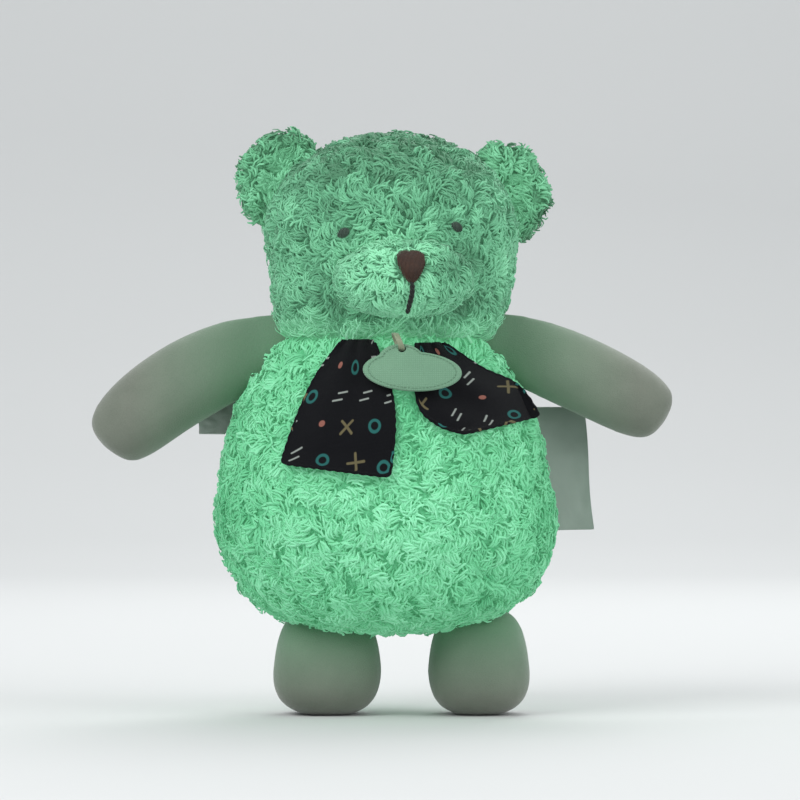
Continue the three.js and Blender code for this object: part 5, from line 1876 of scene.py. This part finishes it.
@dataclass
class Face:
    """The embroidered eyes and nose and the mouth's one long stitch.

    Each eye is an oval that leans outwards by the tilt in degrees. Heights count from the neck's seam.
    """

    head: Head
    eye_out: float = 19.1 * MM
    eye_shift: float = 1.5 * MM
    eye_heights: tuple[tuple[Hand, float], ...] = ((Hand.LEFT, 33.2 * MM), (Hand.RIGHT, 35.4 * MM))
    eye_halves: tuple[float, float] = (2.15 * MM, 1.45 * MM)
    eye_tilt: float = 38.0
    nose_width: float = 9.2 * MM
    nose_z: float = 21.5 * MM
    nose_half: float = 5.6 * MM
    mouth_top: float = 16.4 * MM
    mouth_length: float = 10 * MM
    mouth_steps: int = 48
    mouth_turns: float = 3.2
    ply: float = 0.58 * MM
    ply_offset: float = 0.36 * MM

    def build(self) -> list[Piece]:
        """Builds the whole face.

        Returns:
            The eyes, nose and mouth.
        """
        dark = Stitching("eye_thread_satin", linear(62, 82, 70), linear(36, 52, 44)).build()
        brown = Stitching("nose_thread_satin", linear(66, 40, 26), linear(44, 27, 18)).build()
        eyes = [self._eye(hand, above, dark) for hand, above in self.eye_heights]
        return [*eyes, self._nose(brown), self._mouth()]

    def _eye(self, hand: Hand, above: float, finish: Material) -> Piece:
        """Stitches one eye.

        Args:
            hand: Which eye it is.
            above: Its height.
            finish: The thread.

        Returns:
            The eye.
        """
        x0 = hand.side * self.eye_out - self.eye_shift
        long, short = self.eye_halves
        tilt = math.radians(-hand.side * self.eye_tilt)
        half = math.hypot(long * math.cos(tilt), short * math.sin(tilt))
        slope = (long**2 - short**2) * math.sin(tilt) * math.cos(tilt) / half**2

        def ends(share: float) -> tuple[float, float]:
            """Gives the oval's lowest and highest place."""
            reach = long * short / half * math.sqrt(max(1 - (2 * share - 1) ** 2, 0.05))
            middle = above + slope * (2 * share - 1) * half
            return middle - reach, middle + reach

        satin = Satin(
            f"eye_{hand.value}_stitched", f"eye_{hand.value}", "eye_thread", ends,
            lambda x, z: self.head.front(x + x0, z) - 0.2 * MM, 9, 2 * half, 0.9 * MM, 0.12 * hand.side,
        )
        shift = self.head.spot((x0, 0, 0)) - self.head.spot((0, 0, 0))
        return reshape(satin.sew(self.head, finish), lambda p: p + shift)

    def _nose(self, finish: Material) -> Piece:
        """Stitches the nose: a shield with a flat round top and a blunt point.

        Args:
            finish: The thread.

        Returns:
            The nose.
        """
        half, least = self.nose_half, 0.8 * MM

        def ends(share: float) -> tuple[float, float]:
            """Gives the shield's lowest and highest place."""
            u = abs(2 * share - 1)
            upper = half - 1.5 * MM * u**4
            lower = -half * (1 - u**1.5) ** 0.8 + (half - 4.6 * MM) * u**2
            return self.nose_z + min(lower, upper - least), self.nose_z + upper

        return Satin(
            "nose_stitched", "nose", "nose_thread", ends,
            lambda x, z: self.head.snout_front(x, z) - 0.4 * MM, 22, self.nose_width, 1.3 * MM,
        ).sew(self.head, finish)

    def _swell(self, t: float) -> float:
        """A ply's radius at a share of its length."""
        return self.ply * (1 - 0.35 * abs(2 * t - 1) ** 6)

    def _mouth(self) -> Piece:
        """Lays two plies round each other down from the nose.

        Returns:
            The mouth.
        """
        line = []
        for i in range(self.mouth_steps + 1):
            above = self.mouth_top - self.mouth_length * i / self.mouth_steps
            line.append((0.25 * MM * math.sin(i / 9), self.head.snout_front(0, above) - 1.15 * MM, above))
        plies = []
        for ply in range(2):
            path = np.array(line)
            for i in range(len(path)):
                a = FULL_TURN * (i / self.mouth_steps * self.mouth_turns + ply / 2)
                path[i] += np.array((math.cos(a), math.sin(a), 0.0)) * self.ply_offset
            plies.append(tube(f"ply_{ply}", self.head.place(path), self._swell, 8))
        finish = Stitching("mouth_thread_twist", linear(20, 26, 23), linear(9, 12, 10)).build()
        return dress(joined("mouth_stitched", plies), finish, "head", "mouth_thread", "mouth_stitch")


# Scarf, tag and labels


def uv_scaled(piece: Piece, width: float, length: float, shift: tuple[float, float]) -> None:
    """Turns a unit UV map into metres on the cloth.

    Args:
        piece: The cloth.
        width: The size of the map across.
        length: The size of the map down.
        shift: Where the print starts.
    """
    layer = piece.data.uv_layers.active
    layer.name = "UVMap"
    values = rows_of(layer.data, "uv", 2) * (width, length) + shift
    layer.data.foreach_set("uv", values.ravel())


@dataclass
class Sheet:
    """A flat cut of cloth that is laid over a form by a rule, from shares across and down it."""

    name: str
    columns: int
    rows: int
    width: float
    length: float
    thickness: float
    lay: Laying

    def build(self, shift: tuple[float, float] = (0.0, 0.0)) -> Piece:
        """Lays the cut and gives it its thickness and soft edge.

        Args:
            shift: Where the print starts on the cut.

        Returns:
            The laid cloth.
        """
        deselect()
        bpy.ops.mesh.primitive_grid_add(x_subdivisions=self.columns, y_subdivisions=self.rows, size=1.0)
        piece = bpy.context.object
        uv_scaled(piece, self.width, self.length, shift)
        reshape(piece, lambda p: np.array([self.lay(x + 0.5, 0.5 - y) for x, y, _ in p]))
        wall = piece.modifiers.new("Wall", "SOLIDIFY")
        wall.thickness = self.thickness
        wall.offset = 0.0
        round_edge = piece.modifiers.new("Edge", "BEVEL")
        round_edge.width = self.thickness * 0.3
        round_edge.segments = 2
        round_edge.limit_method = "ANGLE"
        round_edge.angle_limit = math.radians(60)
        return settle(smooth(apply_all(piece), 60), self.name)


@dataclass
class ScarfEnd:
    """One end of the scarf, with folds that fan out from the knot and a rolled, puckered hem.

    Its two edges are in millimetres on the chest, from the knot to the hem. The print starts at its own
    place. The pitch is that of the hem's stitches, which draw the cloth in a little.
    """

    hand: Hand
    inner: Outline
    outer: Outline
    print_start: float
    torso: Torso
    thickness: float
    spans: int = 40
    columns: int = 64
    rows: int = 84
    pitch: float = 3 * MM
    pucker: float = 0.13 * MM
    wave: float = 0.16 * MM
    corner_start: float = 0.93
    corner_share: float = 0.07
    corner: float = 0.13
    lift: float = 1.7 * MM
    fold: float = 0.9 * MM
    gather: float = 1.3 * MM
    curl: float = 1.1 * MM
    wrinkle: float = 0.25 * MM
    hem: float = 0.62 * MM

    def __post_init__(self) -> None:
        """Works out the cut's edges, length and widths."""
        self.near, self.far = spline(self.inner, self.spans) * MM, spline(self.outer, self.spans) * MM
        middle, widths = (self.near + self.far) / 2, np.linalg.norm(self.near - self.far, axis=1)
        self.length = float(np.linalg.norm(np.diff(middle, axis=0), axis=1).sum())
        self.width = float(widths.max())
        self.area = float(widths.mean()) * self.length

    def lay(self, across: float, down: float) -> Place:
        """Lays one place of the cut on the chest.

        Args:
            across: The share across the cut.
            down: The share from the knot to the hem.

        Returns:
            The place.
        """
        a = across if self.hand is Hand.RIGHT else 1 - across
        row = down * self.spans
        k = min(int(row), self.spans - 1)
        w = row - k
        start = self.near[k] * (1 - w) + self.near[k + 1] * w
        end = self.far[k] * (1 - w) + self.far[k + 1] * w
        last = held((down - self.corner_start) / self.corner_share)
        stitches = math.sin(FULL_TURN * down * self.length / self.pitch)
        pucker = self.pucker * stitches * abs(2 * a - 1) ** 8 * min(down / 0.15, 1)
        b = 0.5 + (a - 0.5) * (1 - self.corner * last**3 + 2 * pucker / self.width)
        x, z = start * (1 - b) + end * b
        z += self.wave * math.sin(FULL_TURN * a * self.width / self.pitch) * last**2
        fan = math.sin(math.pi * min(down * 1.1, 1)) ** 0.7
        out = self.fold * (1 - math.cos(FULL_TURN * 2 * a + 0.6)) / 2 * fan
        out += self.gather * math.exp(-((down / 0.16) ** 2)) * (1 + math.cos(FULL_TURN * 3 * a)) / 2
        curl = self.curl * max(0.0, down - 0.86) / 0.14
        wrinkle = self.wrinkle * noise.noise(Vector((x * 160, z * 120, 3)))
        return x, self.torso.front(x, z, self.lift + out + curl + wrinkle), z

    def build(self, finish: Material) -> Piece:
        """Lays the end and its hem.

        Args:
            finish: The printed cloth.

        Returns:
            The end.
        """
        name = self.hand.value
        sheet = Sheet(f"scarf_end_{name}", self.columns, self.rows, self.width, self.length,
                      self.thickness, self.lay)
        cloth = sheet.build((self.print_start, 2 * MM))
        piece = dress(cloth, finish, "torso", "scarf_cloth", f"scarf_tail_{name}")
        self._hem(finish)
        return piece

    def _hem(self, finish: Material) -> None:
        """Rolls a narrow hem round the end's three free edges.

        Args:
            finish: The printed cloth.
        """
        edge = [(0.0, d) for d in np.linspace(0.04, 0.985, self.rows)]
        edge += [(a, 0.99) for a in np.linspace(0.02, 0.98, self.columns)]
        edge += [(1.0, d) for d in np.linspace(0.985, 0.04, self.rows)]
        name = f"scarf_hem_{self.hand.value}"
        piece = tube(name, np.array([self.lay(a, d) for a, d in edge]), lambda t: self.hem, 8)
        layer = piece.data.uv_layers.new(name="UVMap")
        corners = rows_of(piece.data.loops, "vertex_index", 1, np.int32)[:, 0]
        spots = rows_of(piece.data.vertices, "co")[corners]
        layer.data.foreach_set("uv", spots[:, (0, 2)].ravel())
        dress(settle(smooth(piece), name), finish, "torso", "scarf_cloth")


@dataclass
class Scarf:
    """The printed scarf: a band under the chin, a knot and two ends on the chest."""

    torso: Torso
    thickness: float = 0.9 * MM
    band_height: float = 5.2 * MM
    band_drop: float = 0.9 * MM
    band_hidden: float = 5.7 * MM
    band_ease: float = 0.2 * MM
    crease: float = 0.3 * MM
    knot: tuple[float, float] = (5.7 * MM, 121.8 * MM)
    knot_halves: Place = (4 * MM, 2.6 * MM, 3.5 * MM)
    knot_lift: float = 1.25 * MM

    def build(self) -> list[Piece]:
        """Builds the scarf.

        Returns:
            Its pieces.
        """
        cloth = ScarfPrint("scarf_print").build()
        ends = (
            ScarfEnd(
                Hand.LEFT, ((-3.4, 127.6), (2, 112.3), (3.6, 99), (2.1, 81.9)),
                ((-13.9, 127.6), (-22.9, 114.7), (-29.5, 99.8), (-34, 86.4)),
                12 * MM, self.torso, self.thickness,
            ),
            ScarfEnd(
                Hand.RIGHT, ((10.4, 126.4), (11.5, 107), (18, 99.5), (27, 96.4)),
                ((20.4, 126.7), (33, 118.2), (45.4, 112.4), (52.8, 102.2)),
                4 * MM, self.torso, self.thickness,
            ),
        )
        return [*(end.build(cloth) for end in ends), self._band(cloth), self._knot(cloth)]

    def _band(self, finish: Material) -> Piece:
        """Wraps the band round the neck, with creases along it. The coat hides it at the front and sides.

        Args:
            finish: The printed cloth.

        Returns:
            The band.
        """
        top = NECK_Z - self.band_drop
        share = self.torso.depth / self.torso.width

        def lay(across: float, down: float) -> Place:
            """Lays one place of the band."""
            a = FULL_TURN * across
            z = top - self.band_height * down
            belly = math.sin(math.pi * down)
            hidden = held((0.45 - math.cos(a)) / 0.5)
            half = self.torso.side(z) + self.band_ease - self.band_hidden * hidden + 0.5 * MM * belly
            half += self.crease * math.sin(9 * a) * belly
            half += self.crease * noise.noise(Vector((a * 5, down * 3, 0)))
            return half * math.sin(a), BODY_Y + half * share * math.cos(a), z

        round_neck = FULL_TURN * self.torso.side(top - 2 * MM) * (1 + share) / 2
        sheet = Sheet("scarf_neck_band", 120, 8, round_neck, self.band_height, self.thickness, lay)
        cloth = faces_outwards(sheet.build((0.0, 6 * MM)))
        return dress(cloth, finish, "torso", "scarf_cloth", "scarf_band")

    def _knot(self, finish: Material) -> Piece:
        """Builds the knot: a soft wrapped loop with pinched creases.

        Args:
            finish: The printed cloth.

        Returns:
            The knot.
        """
        x0, z0 = self.knot
        wide, deep, high = self.knot_halves
        y0 = self.torso.front(x0, z0, self.knot_lift)

        def shape(points: Points) -> Points:
            """Pinches a ball and sets it on the chest."""
            x, y, z = points.T
            pinch = 1 + 0.07 * np.cos(5 * np.arctan2(z, x) + 2.5 * y)
            return np.column_stack((x * wide * pinch + x0, y * deep + y0, z * high * pinch + z0))

        piece = ball(32, 20)
        uv_scaled(piece, 24 * MM, 12 * MM, (50 * MM, 50 * MM))
        piece = settle(smooth(reshape(piece, shape)), "scarf_knot_wrap")
        return dress(piece, finish, "torso", "scarf_cloth", "scarf_knot")


@dataclass
class HangTag:
    """The bare padded tag, its edge stitching and its ribbon loop.

    The tag is an oval with a lobe on top, which has the hole. The rim gives, from the front's middle round
    to the back's, each ring's share of the outline and its share of the thickness. The front has a step,
    where the edge is pressed flat. The tilt and the lean are in degrees.
    """

    torso: Torso
    width: float = 33 * MM
    height: float = 14.4 * MM
    thickness: float = 1.5 * MM
    lobe: float = 15.5 * MM
    lobe_rise: float = 2.6 * MM
    hole: float = 1.4 * MM
    tilt: float = -3.0
    lean: float = 24.0
    middle: tuple[float, float] = (10 * MM, 117.2 * MM)
    lift: float = 6.8 * MM
    stitches: int = 58
    stitch: float = 0.62
    stitch_line: float = 0.885
    thread: float = 0.13 * MM
    ribbon: float = 2 * MM
    ribbon_loop: float = 2.75 * MM
    rim: Outline = (
        (0.02, 0.5), (0.5, 0.5), (0.8, 0.5), (0.93, 0.46), (0.985, 0.3), (1.0, 0.1), (1.0, -0.1),
        (0.985, -0.32), (0.93, -0.5), (0.88, -0.46), (0.84, -0.44), (0.8, -0.5), (0.5, -0.72), (0.02, -0.78),
    )

    @property
    def hole_spot(self) -> tuple[float, float]:
        """Where the hole is on the flat tag."""
        return -self.lobe / 4, self.height / 2 + self.lobe_rise - self.hole - 0.6 * MM

    def placed(self, points: Points) -> Points:
        """Tilts and leans the flat tag and hangs it on the chest.

        Args:
            points: The flat tag's points.

        Returns:
            The points in the bear's frame.
        """
        side, rise = self.hole_spot
        x, y, z = (points - np.array((side, 0.0, rise))).T
        t = math.radians(-self.tilt)
        x, z = x * math.cos(t) + z * math.sin(t), z * math.cos(t) - x * math.sin(t)
        lean = math.radians(-self.lean)
        y, z = y * math.cos(lean) - z * math.sin(lean), y * math.sin(lean) + z * math.cos(lean)
        mx, mz = self.middle
        back = rise * math.sin(-lean)
        front = self.torso.front(mx, mz, self.lift)
        return np.column_stack((x + mx + side, y + front + back, z + mz + rise * math.cos(lean)))

    def _reach(self, angles: np.ndarray) -> np.ndarray:
        """Finds how far the tag's outline lies from its middle.

        Args:
            angles: The ways out from the middle.

        Returns:
            The distance for each.
        """
        c, s = np.cos(angles), np.sin(angles)
        a, b = self.width / 2, self.height / 2
        whole = 1 / np.sqrt((c / a) ** 2 + (s / b) ** 2)
        p, q = self.lobe / 2, self.height / 4 + self.lobe_rise
        x0, z0 = self.hole_spot[0], self.height / 4
        k2 = (c / p) ** 2 + (s / q) ** 2
        k1 = -2 * (c * x0 / p**2 + s * z0 / q**2)
        k0 = (x0 / p) ** 2 + (z0 / q) ** 2 - 1
        lobe = (-k1 + np.sqrt(np.maximum(k1**2 - 4 * k2 * k0, 0))) / (2 * k2)
        return np.maximum(whole, lobe)

    def build(self) -> list[Piece]:
        """Builds the tag, its edge stitching and the ribbon.

        Returns:
            The tag and the ribbon.
        """
        piece = reshape(stacked("tag_padded", len(self.rim), 96), self._padded)
        piece = self._punched(faces_outwards(piece))
        piece = settle(smooth(reshape(piece, self.placed), 35), "tag_padded")
        felt = Woven("tag_felt", linear(116, 156, 128), linear(98, 138, 112), 1500.0, 0.8, 0.2, 0.1 * MM)
        stuffed(piece, felt.build(), "hang_tag", "tag_cloth", 0.4, "tag")
        self._edge_stitching()
        return [piece, self._ribbon()]

    def _padded(self, points: Points) -> Points:
        """Draws a stack of rings out to the flat padded tag.

        Args:
            points: The stack's points.

        Returns:
            The tag's points.
        """
        shares, depths = np.array(self.rim).T
        ring = np.clip(np.rint(points[:, 2]).astype(int), 0, len(shares) - 1)
        angles = np.arctan2(points[:, 1], points[:, 0])
        reach = self._reach(angles) * shares[ring]
        y = depths[ring] * self.thickness
        return np.column_stack((reach * np.cos(angles), y, reach * np.sin(angles)))

    def _punched(self, piece: Piece) -> Piece:
        """Punches the hole for the ribbon.

        Args:
            piece: The flat tag.

        Returns:
            The same object.
        """
        side, rise = self.hole_spot
        deselect()
        bpy.ops.mesh.primitive_cylinder_add(
            vertices=28, radius=self.hole, depth=10 * MM, location=(side, 0, rise),
            rotation=(math.pi / 2, 0, 0),
        )
        tool = bpy.context.object
        punch = piece.modifiers.new("Hole", "BOOLEAN")
        punch.object = tool
        punch.operation = "DIFFERENCE"
        punch.solver = "EXACT"
        apply_all(piece)
        bpy.data.objects.remove(tool, do_unlink=True)
        return piece

    def _edge_stitching(self) -> None:
        """Sews a running stitch along the tag's pressed edge."""
        angles = np.linspace(0, FULL_TURN, 1200)
        reach = self._reach(angles) * self.stitch_line
        y = np.full_like(angles, -0.5 * self.thickness)
        line = np.column_stack((reach * np.cos(angles), y, reach * np.sin(angles)))
        gone = np.concatenate(([0], np.cumsum(np.linalg.norm(np.diff(line, axis=0), axis=1))))
        pitch = gone[-1] / self.stitches
        threads = []
        for i in range(self.stitches):
            along = pitch * (i + np.linspace(0, self.stitch, 5))
            path = np.column_stack([np.interp(along, gone, values) for values in line.T])
            path[:, 1] -= 0.1 * MM * np.sin(np.linspace(0.1, math.pi - 0.1, 5))
            threads.append(tube(f"stitch_{i}", self.placed(path), lambda t: self.thread, 5))
        thread = Stitching("tag_thread", linear(106, 142, 116), linear(84, 120, 96)).build()
        dress(joined("tag_edge_stitching", threads), thread, "hang_tag", "tag_cloth")

    def _ribbon(self) -> Piece:
        """Bends a narrow satin ribbon through the hole and up to the neck.

        Returns:
            The ribbon.
        """
        side, rise = self.hole_spot
        loop = self.ribbon_loop

        def lay(across: float, down: float) -> Place:
            """Lays one place of the ribbon."""
            a = FULL_TURN * down
            up = loop * (1 - math.cos(a))
            spot = (side + (across - 0.5) * self.ribbon - 0.5 * up, loop * math.sin(a), rise + up)
            return tuple(self.placed(np.array([spot]))[0])

        sheet = Sheet("tag_ribbon_satin", 6, 48, self.ribbon, FULL_TURN * loop, 0.5 * MM, lay)
        satin = Woven("ribbon_satin", linear(150, 158, 128), linear(104, 116, 92), roughness=0.35, sheen=0.5)
        return dress(faces_outwards(sheet.build()), satin.build(), "torso", "satin", "tag_ribbon")


@dataclass
class SeamLabel:
    """A bare satin label that is sewn in a side seam.

    It reaches out from the seam, its outer edge lies further back, it leans by an angle in degrees, and
    its fold is how far it bulges between.
    """

    name: str
    node: str
    body: str
    hand: Hand
    torso: Torso
    out: float
    height: float
    z: float
    y: float
    back: float
    lean: float
    fold: float
    tuck: float = 2 * MM
    ease: float = 0.3 * MM
    thickness: float = 0.55 * MM
    cut_edge: float = 0.36 * MM

    def lay(self, across: float, down: float) -> Place:
        """Lays one place of the label.

        Args:
            across: The share across the cut, from left to right.
            down: The share down the cut.

        Returns:
            The place.
        """
        share = self.tuck / (self.out + self.tuck)
        a = (across if self.hand is Hand.RIGHT else 1 - across) / (1 - share) - share / (1 - share)
        z = self.z + self.height * (0.5 - down)
        root = self.torso.side(z) + self.ease
        edge = self.torso.side(self.z) + self.out - math.tan(math.radians(self.lean)) * (z - self.z)
        edge += 0.5 * MM * math.sin(down * 5.5 + 0.6)
        x = self.hand.side * (root + a * (edge - root))
        wave = self.fold * math.sin(a * math.pi) * 0.5 + 1.3 * MM * a * math.sin(down * 6 + 1) * max(a, 0)
        crumple = 0.35 * MM * noise.noise(Vector((a * 4, down * 6, 1)))
        return x, BODY_Y + self.y + a * self.back + wave + crumple, z

    def build(self, finish: Material) -> Piece:
        """Builds the label, folded at its outer edge.

        Args:
            finish: The satin.

        Returns:
            The label.
        """
        width = self.out + self.tuck
        sheet = Sheet(self.name, 26, 48, width, self.height, self.thickness, self.lay)
        piece = dress(faces_outwards(sheet.build()), finish, self.body, "satin", self.node)
        self._edge(finish)
        return piece

    def _edge(self, finish: Material) -> None:
        """Rolls the label's folded and heat-cut edges.

        Args:
            finish: The satin.
        """
        start, outer = (0.2, 1.0) if self.hand is Hand.RIGHT else (0.8, 0.0)
        edge = [(a, 0.004) for a in np.linspace(start, outer, 14)]
        edge += [(outer, d) for d in np.linspace(0.02, 0.98, 40)]
        edge += [(a, 0.996) for a in np.linspace(outer, start, 14)]
        name = f"{self.name}_edge"
        piece = tube(name, np.array([self.lay(a, d) for a, d in edge]), lambda t: self.cut_edge, 6)
        dress(settle(smooth(piece), name), finish, self.body, "satin")


# Movement


@dataclass
class Movement:
    """The wind-up movement, its case, key and grommet, which keep their solids."""

    def dress(self) -> int:
        """Gives each remaining solid its finish.

        Returns:
            How many solids were dressed.
        """
        finishes = {
            "case_plastic": Moulded("case_moulding", linear(226, 226, 220), linear(206, 207, 202)),
            "key_metal": Hard("key_plating", linear(214, 216, 220), linear(176, 178, 184), 0.2),
            "zinc": Hard("plate_casting", linear(176, 180, 184), linear(142, 146, 152), 0.42),
            "steel": Hard("bright_steel", linear(196, 200, 206), linear(150, 154, 160), 0.26),
            "brass": Hard("turned_brass", linear(206, 172, 96), linear(160, 128, 66), 0.3),
            "dark_plastic": Moulded("wheel_moulding", linear(52, 54, 58), linear(38, 40, 44), 0.36),
        }
        built = {slot: finish.build() for slot, finish in finishes.items()}
        count = 0
        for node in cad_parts.values():
            slot = node.material_slots[0].material.name.split(".")[0]
            if slot in built:
                node.material_slots[0].material = built[slot]
                count += 1
        log.info("%d solids of the movement are dressed", count)
        return count


# Studio


@dataclass(frozen=True)
class Lamp:
    """A soft square lamp: its size, its power in watts and the place that it faces."""

    name: str
    place: Place
    size: float
    power: float
    aim: Place = (0.0, 0.0, 0.1)

    def hang(self) -> None:
        """Hangs the lamp."""
        light = bpy.data.lights.new(self.name, "AREA")
        light.shape = "SQUARE"
        light.size = self.size
        light.energy = self.power
        lamp = bpy.data.objects.new(self.name, light)
        lamp.location = self.place
        lamp.rotation_euler = (Vector(self.aim) - Vector(self.place)).to_track_quat("-Z", "Y").to_euler()
        bpy.context.collection.objects.link(lamp)


@dataclass
class Studio:
    """A pale floor with a curved backdrop, soft lamps and the photograph's camera."""

    lens: float = 200.0
    distance: float = 1519.4 * MM
    look: tuple[float, float] = (5.5 * MM, 107.5 * MM)
    floor_width: float = 8.0
    floor_run: float = 7.0
    floor_front: float = 3.0
    floor_flat: float = 4.2
    floor_bend: float = 0.9
    air: float = 0.7
    lamps: tuple[Lamp, ...] = (
        Lamp("lamp_left", (-0.75, -0.85, 0.95), 0.8, 11.0),
        Lamp("lamp_right", (0.95, -0.6, 0.6), 0.9, 6.0),
        Lamp("lamp_back", (0.2, 0.9, 1.1), 0.8, 8.0),
        Lamp("lamp_wall", (0.0, 0.7, 1.9), 1.2, 11.0, (0.0, 2.2, 0.7)),
    )

    def build(self) -> None:
        """Builds the floor, the world, the lamps and the camera."""
        self._floor()
        self._world()
        for lamp in self.lamps:
            lamp.hang()
        self._camera()

    def _floor(self) -> None:
        """Makes a floor that runs up into a backdrop in one soft curve."""
        deselect()
        bpy.ops.mesh.primitive_grid_add(x_subdivisions=2, y_subdivisions=40, size=1.0)
        floor = settle(smooth(reshape(bpy.context.object, self._swept)), "studio_floor")
        r = Recipe("studio_paper")
        r.surface(Base_Color=linear(208, 210, 210), Roughness=0.9, Specular_IOR_Level=0.1)
        floor.data.materials.append(r.material)

    def _swept(self, points: Points) -> Points:
        """Bends a flat grid of size 1 into the floor and its backdrop.

        Args:
            points: The grid's points.

        Returns:
            The floor's points.
        """
        run = (points[:, 1] + 0.5) * self.floor_run
        flat, bend = self.floor_flat, self.floor_bend
        angle = np.clip((run - flat) / bend, 0, math.pi / 2)
        past = np.maximum(run - flat - bend * math.pi / 2, 0)
        y = np.minimum(run, flat) - self.floor_front + bend * np.sin(angle)
        return np.column_stack((points[:, 0] * self.floor_width, y, bend * (1 - np.cos(angle)) + past))

    def _world(self) -> None:
        """Makes soft even light from all round, pale to the camera."""
        world = bpy.data.worlds.new("studio_air")
        bpy.context.scene.world = world
        world.use_nodes = True
        back = world.node_tree.nodes["Background"]
        back.inputs["Color"].default_value = (*linear(232, 234, 236), 1.0)
        back.inputs["Strength"].default_value = self.air

    def _camera(self) -> None:
        """Sets the camera level with the bear's chest, straight in front."""
        data = bpy.data.cameras.new("photo_camera")
        data.lens = self.lens
        camera = bpy.data.objects.new("photo_camera", data)
        camera.location = (self.look[0], BODY_Y - self.distance, self.look[1])
        camera.rotation_euler = (math.pi / 2, 0, 0)
        bpy.context.collection.objects.link(camera)
        bpy.context.scene.camera = camera


def main() -> None:
    """Builds the bear from the inside out."""
    logging.basicConfig(level=logging.INFO, format="%(message)s")
    bpy.context.scene.view_settings.view_transform = "Standard"
    noise.seed_set(SWIRL_SEED)
    Studio().build()
    Movement().dress()

    torso, head = Torso(), Head()
    torso.build_skin()
    head.build_base()
    head.build_snout()
    sleeve = Velour("arm_velour", "X", 40 * MM, 86 * MM).build()
    foot = Velour("leg_velour", "Z", 30 * MM, 6 * MM).build()
    Arm(Hand.LEFT, 43.5 * MM, 124.2 * MM, 62.8 * MM, 15 * MM, 17, 49).build(sleeve)
    Arm(Hand.RIGHT, 43 * MM, 126 * MM, 60 * MM, 13.7 * MM, 19, 32).build(sleeve)
    Leg(Hand.LEFT, 19.3 * MM, 38.2 * MM).build(foot)
    Leg(Hand.RIGHT, 32.4 * MM, 36 * MM).build(foot)
    face = Face(head).build()
    scarf = Scarf(torso).build()
    tag = HangTag(torso).build()
    satin = Woven("label_satin", linear(132, 150, 138), linear(110, 128, 116)).build()
    SeamLabel(
        "side_label_satin", "side_label", "label_flap", Hand.RIGHT, torso, out=14 * MM, height=42 * MM,
        z=84 * MM, y=3 * MM, back=9 * MM, lean=5.3, fold=2 * MM,
    ).build(satin)
    SeamLabel(
        "care_label_satin", "care_label", "torso", Hand.LEFT, torso, out=13 * MM, height=12 * MM,
        z=102 * MM, y=5 * MM, back=12 * MM, lean=-6, fold=1 * MM,
    ).build(satin)

    torso.dress([*scarf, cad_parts["key_grommet"]])
    head.dress(face)
    Ear(Hand.LEFT, head, 14, 0.0, 2.6 * MM).build()
    Ear(Hand.RIGHT, head, -10, 0.1, 1.1 * MM).build()
    log.info("%d scarf pieces, %d tag pieces", len(scarf), len(tag))
    bpy.context.view_layer.update()


if __name__ == "__main__":
    main()
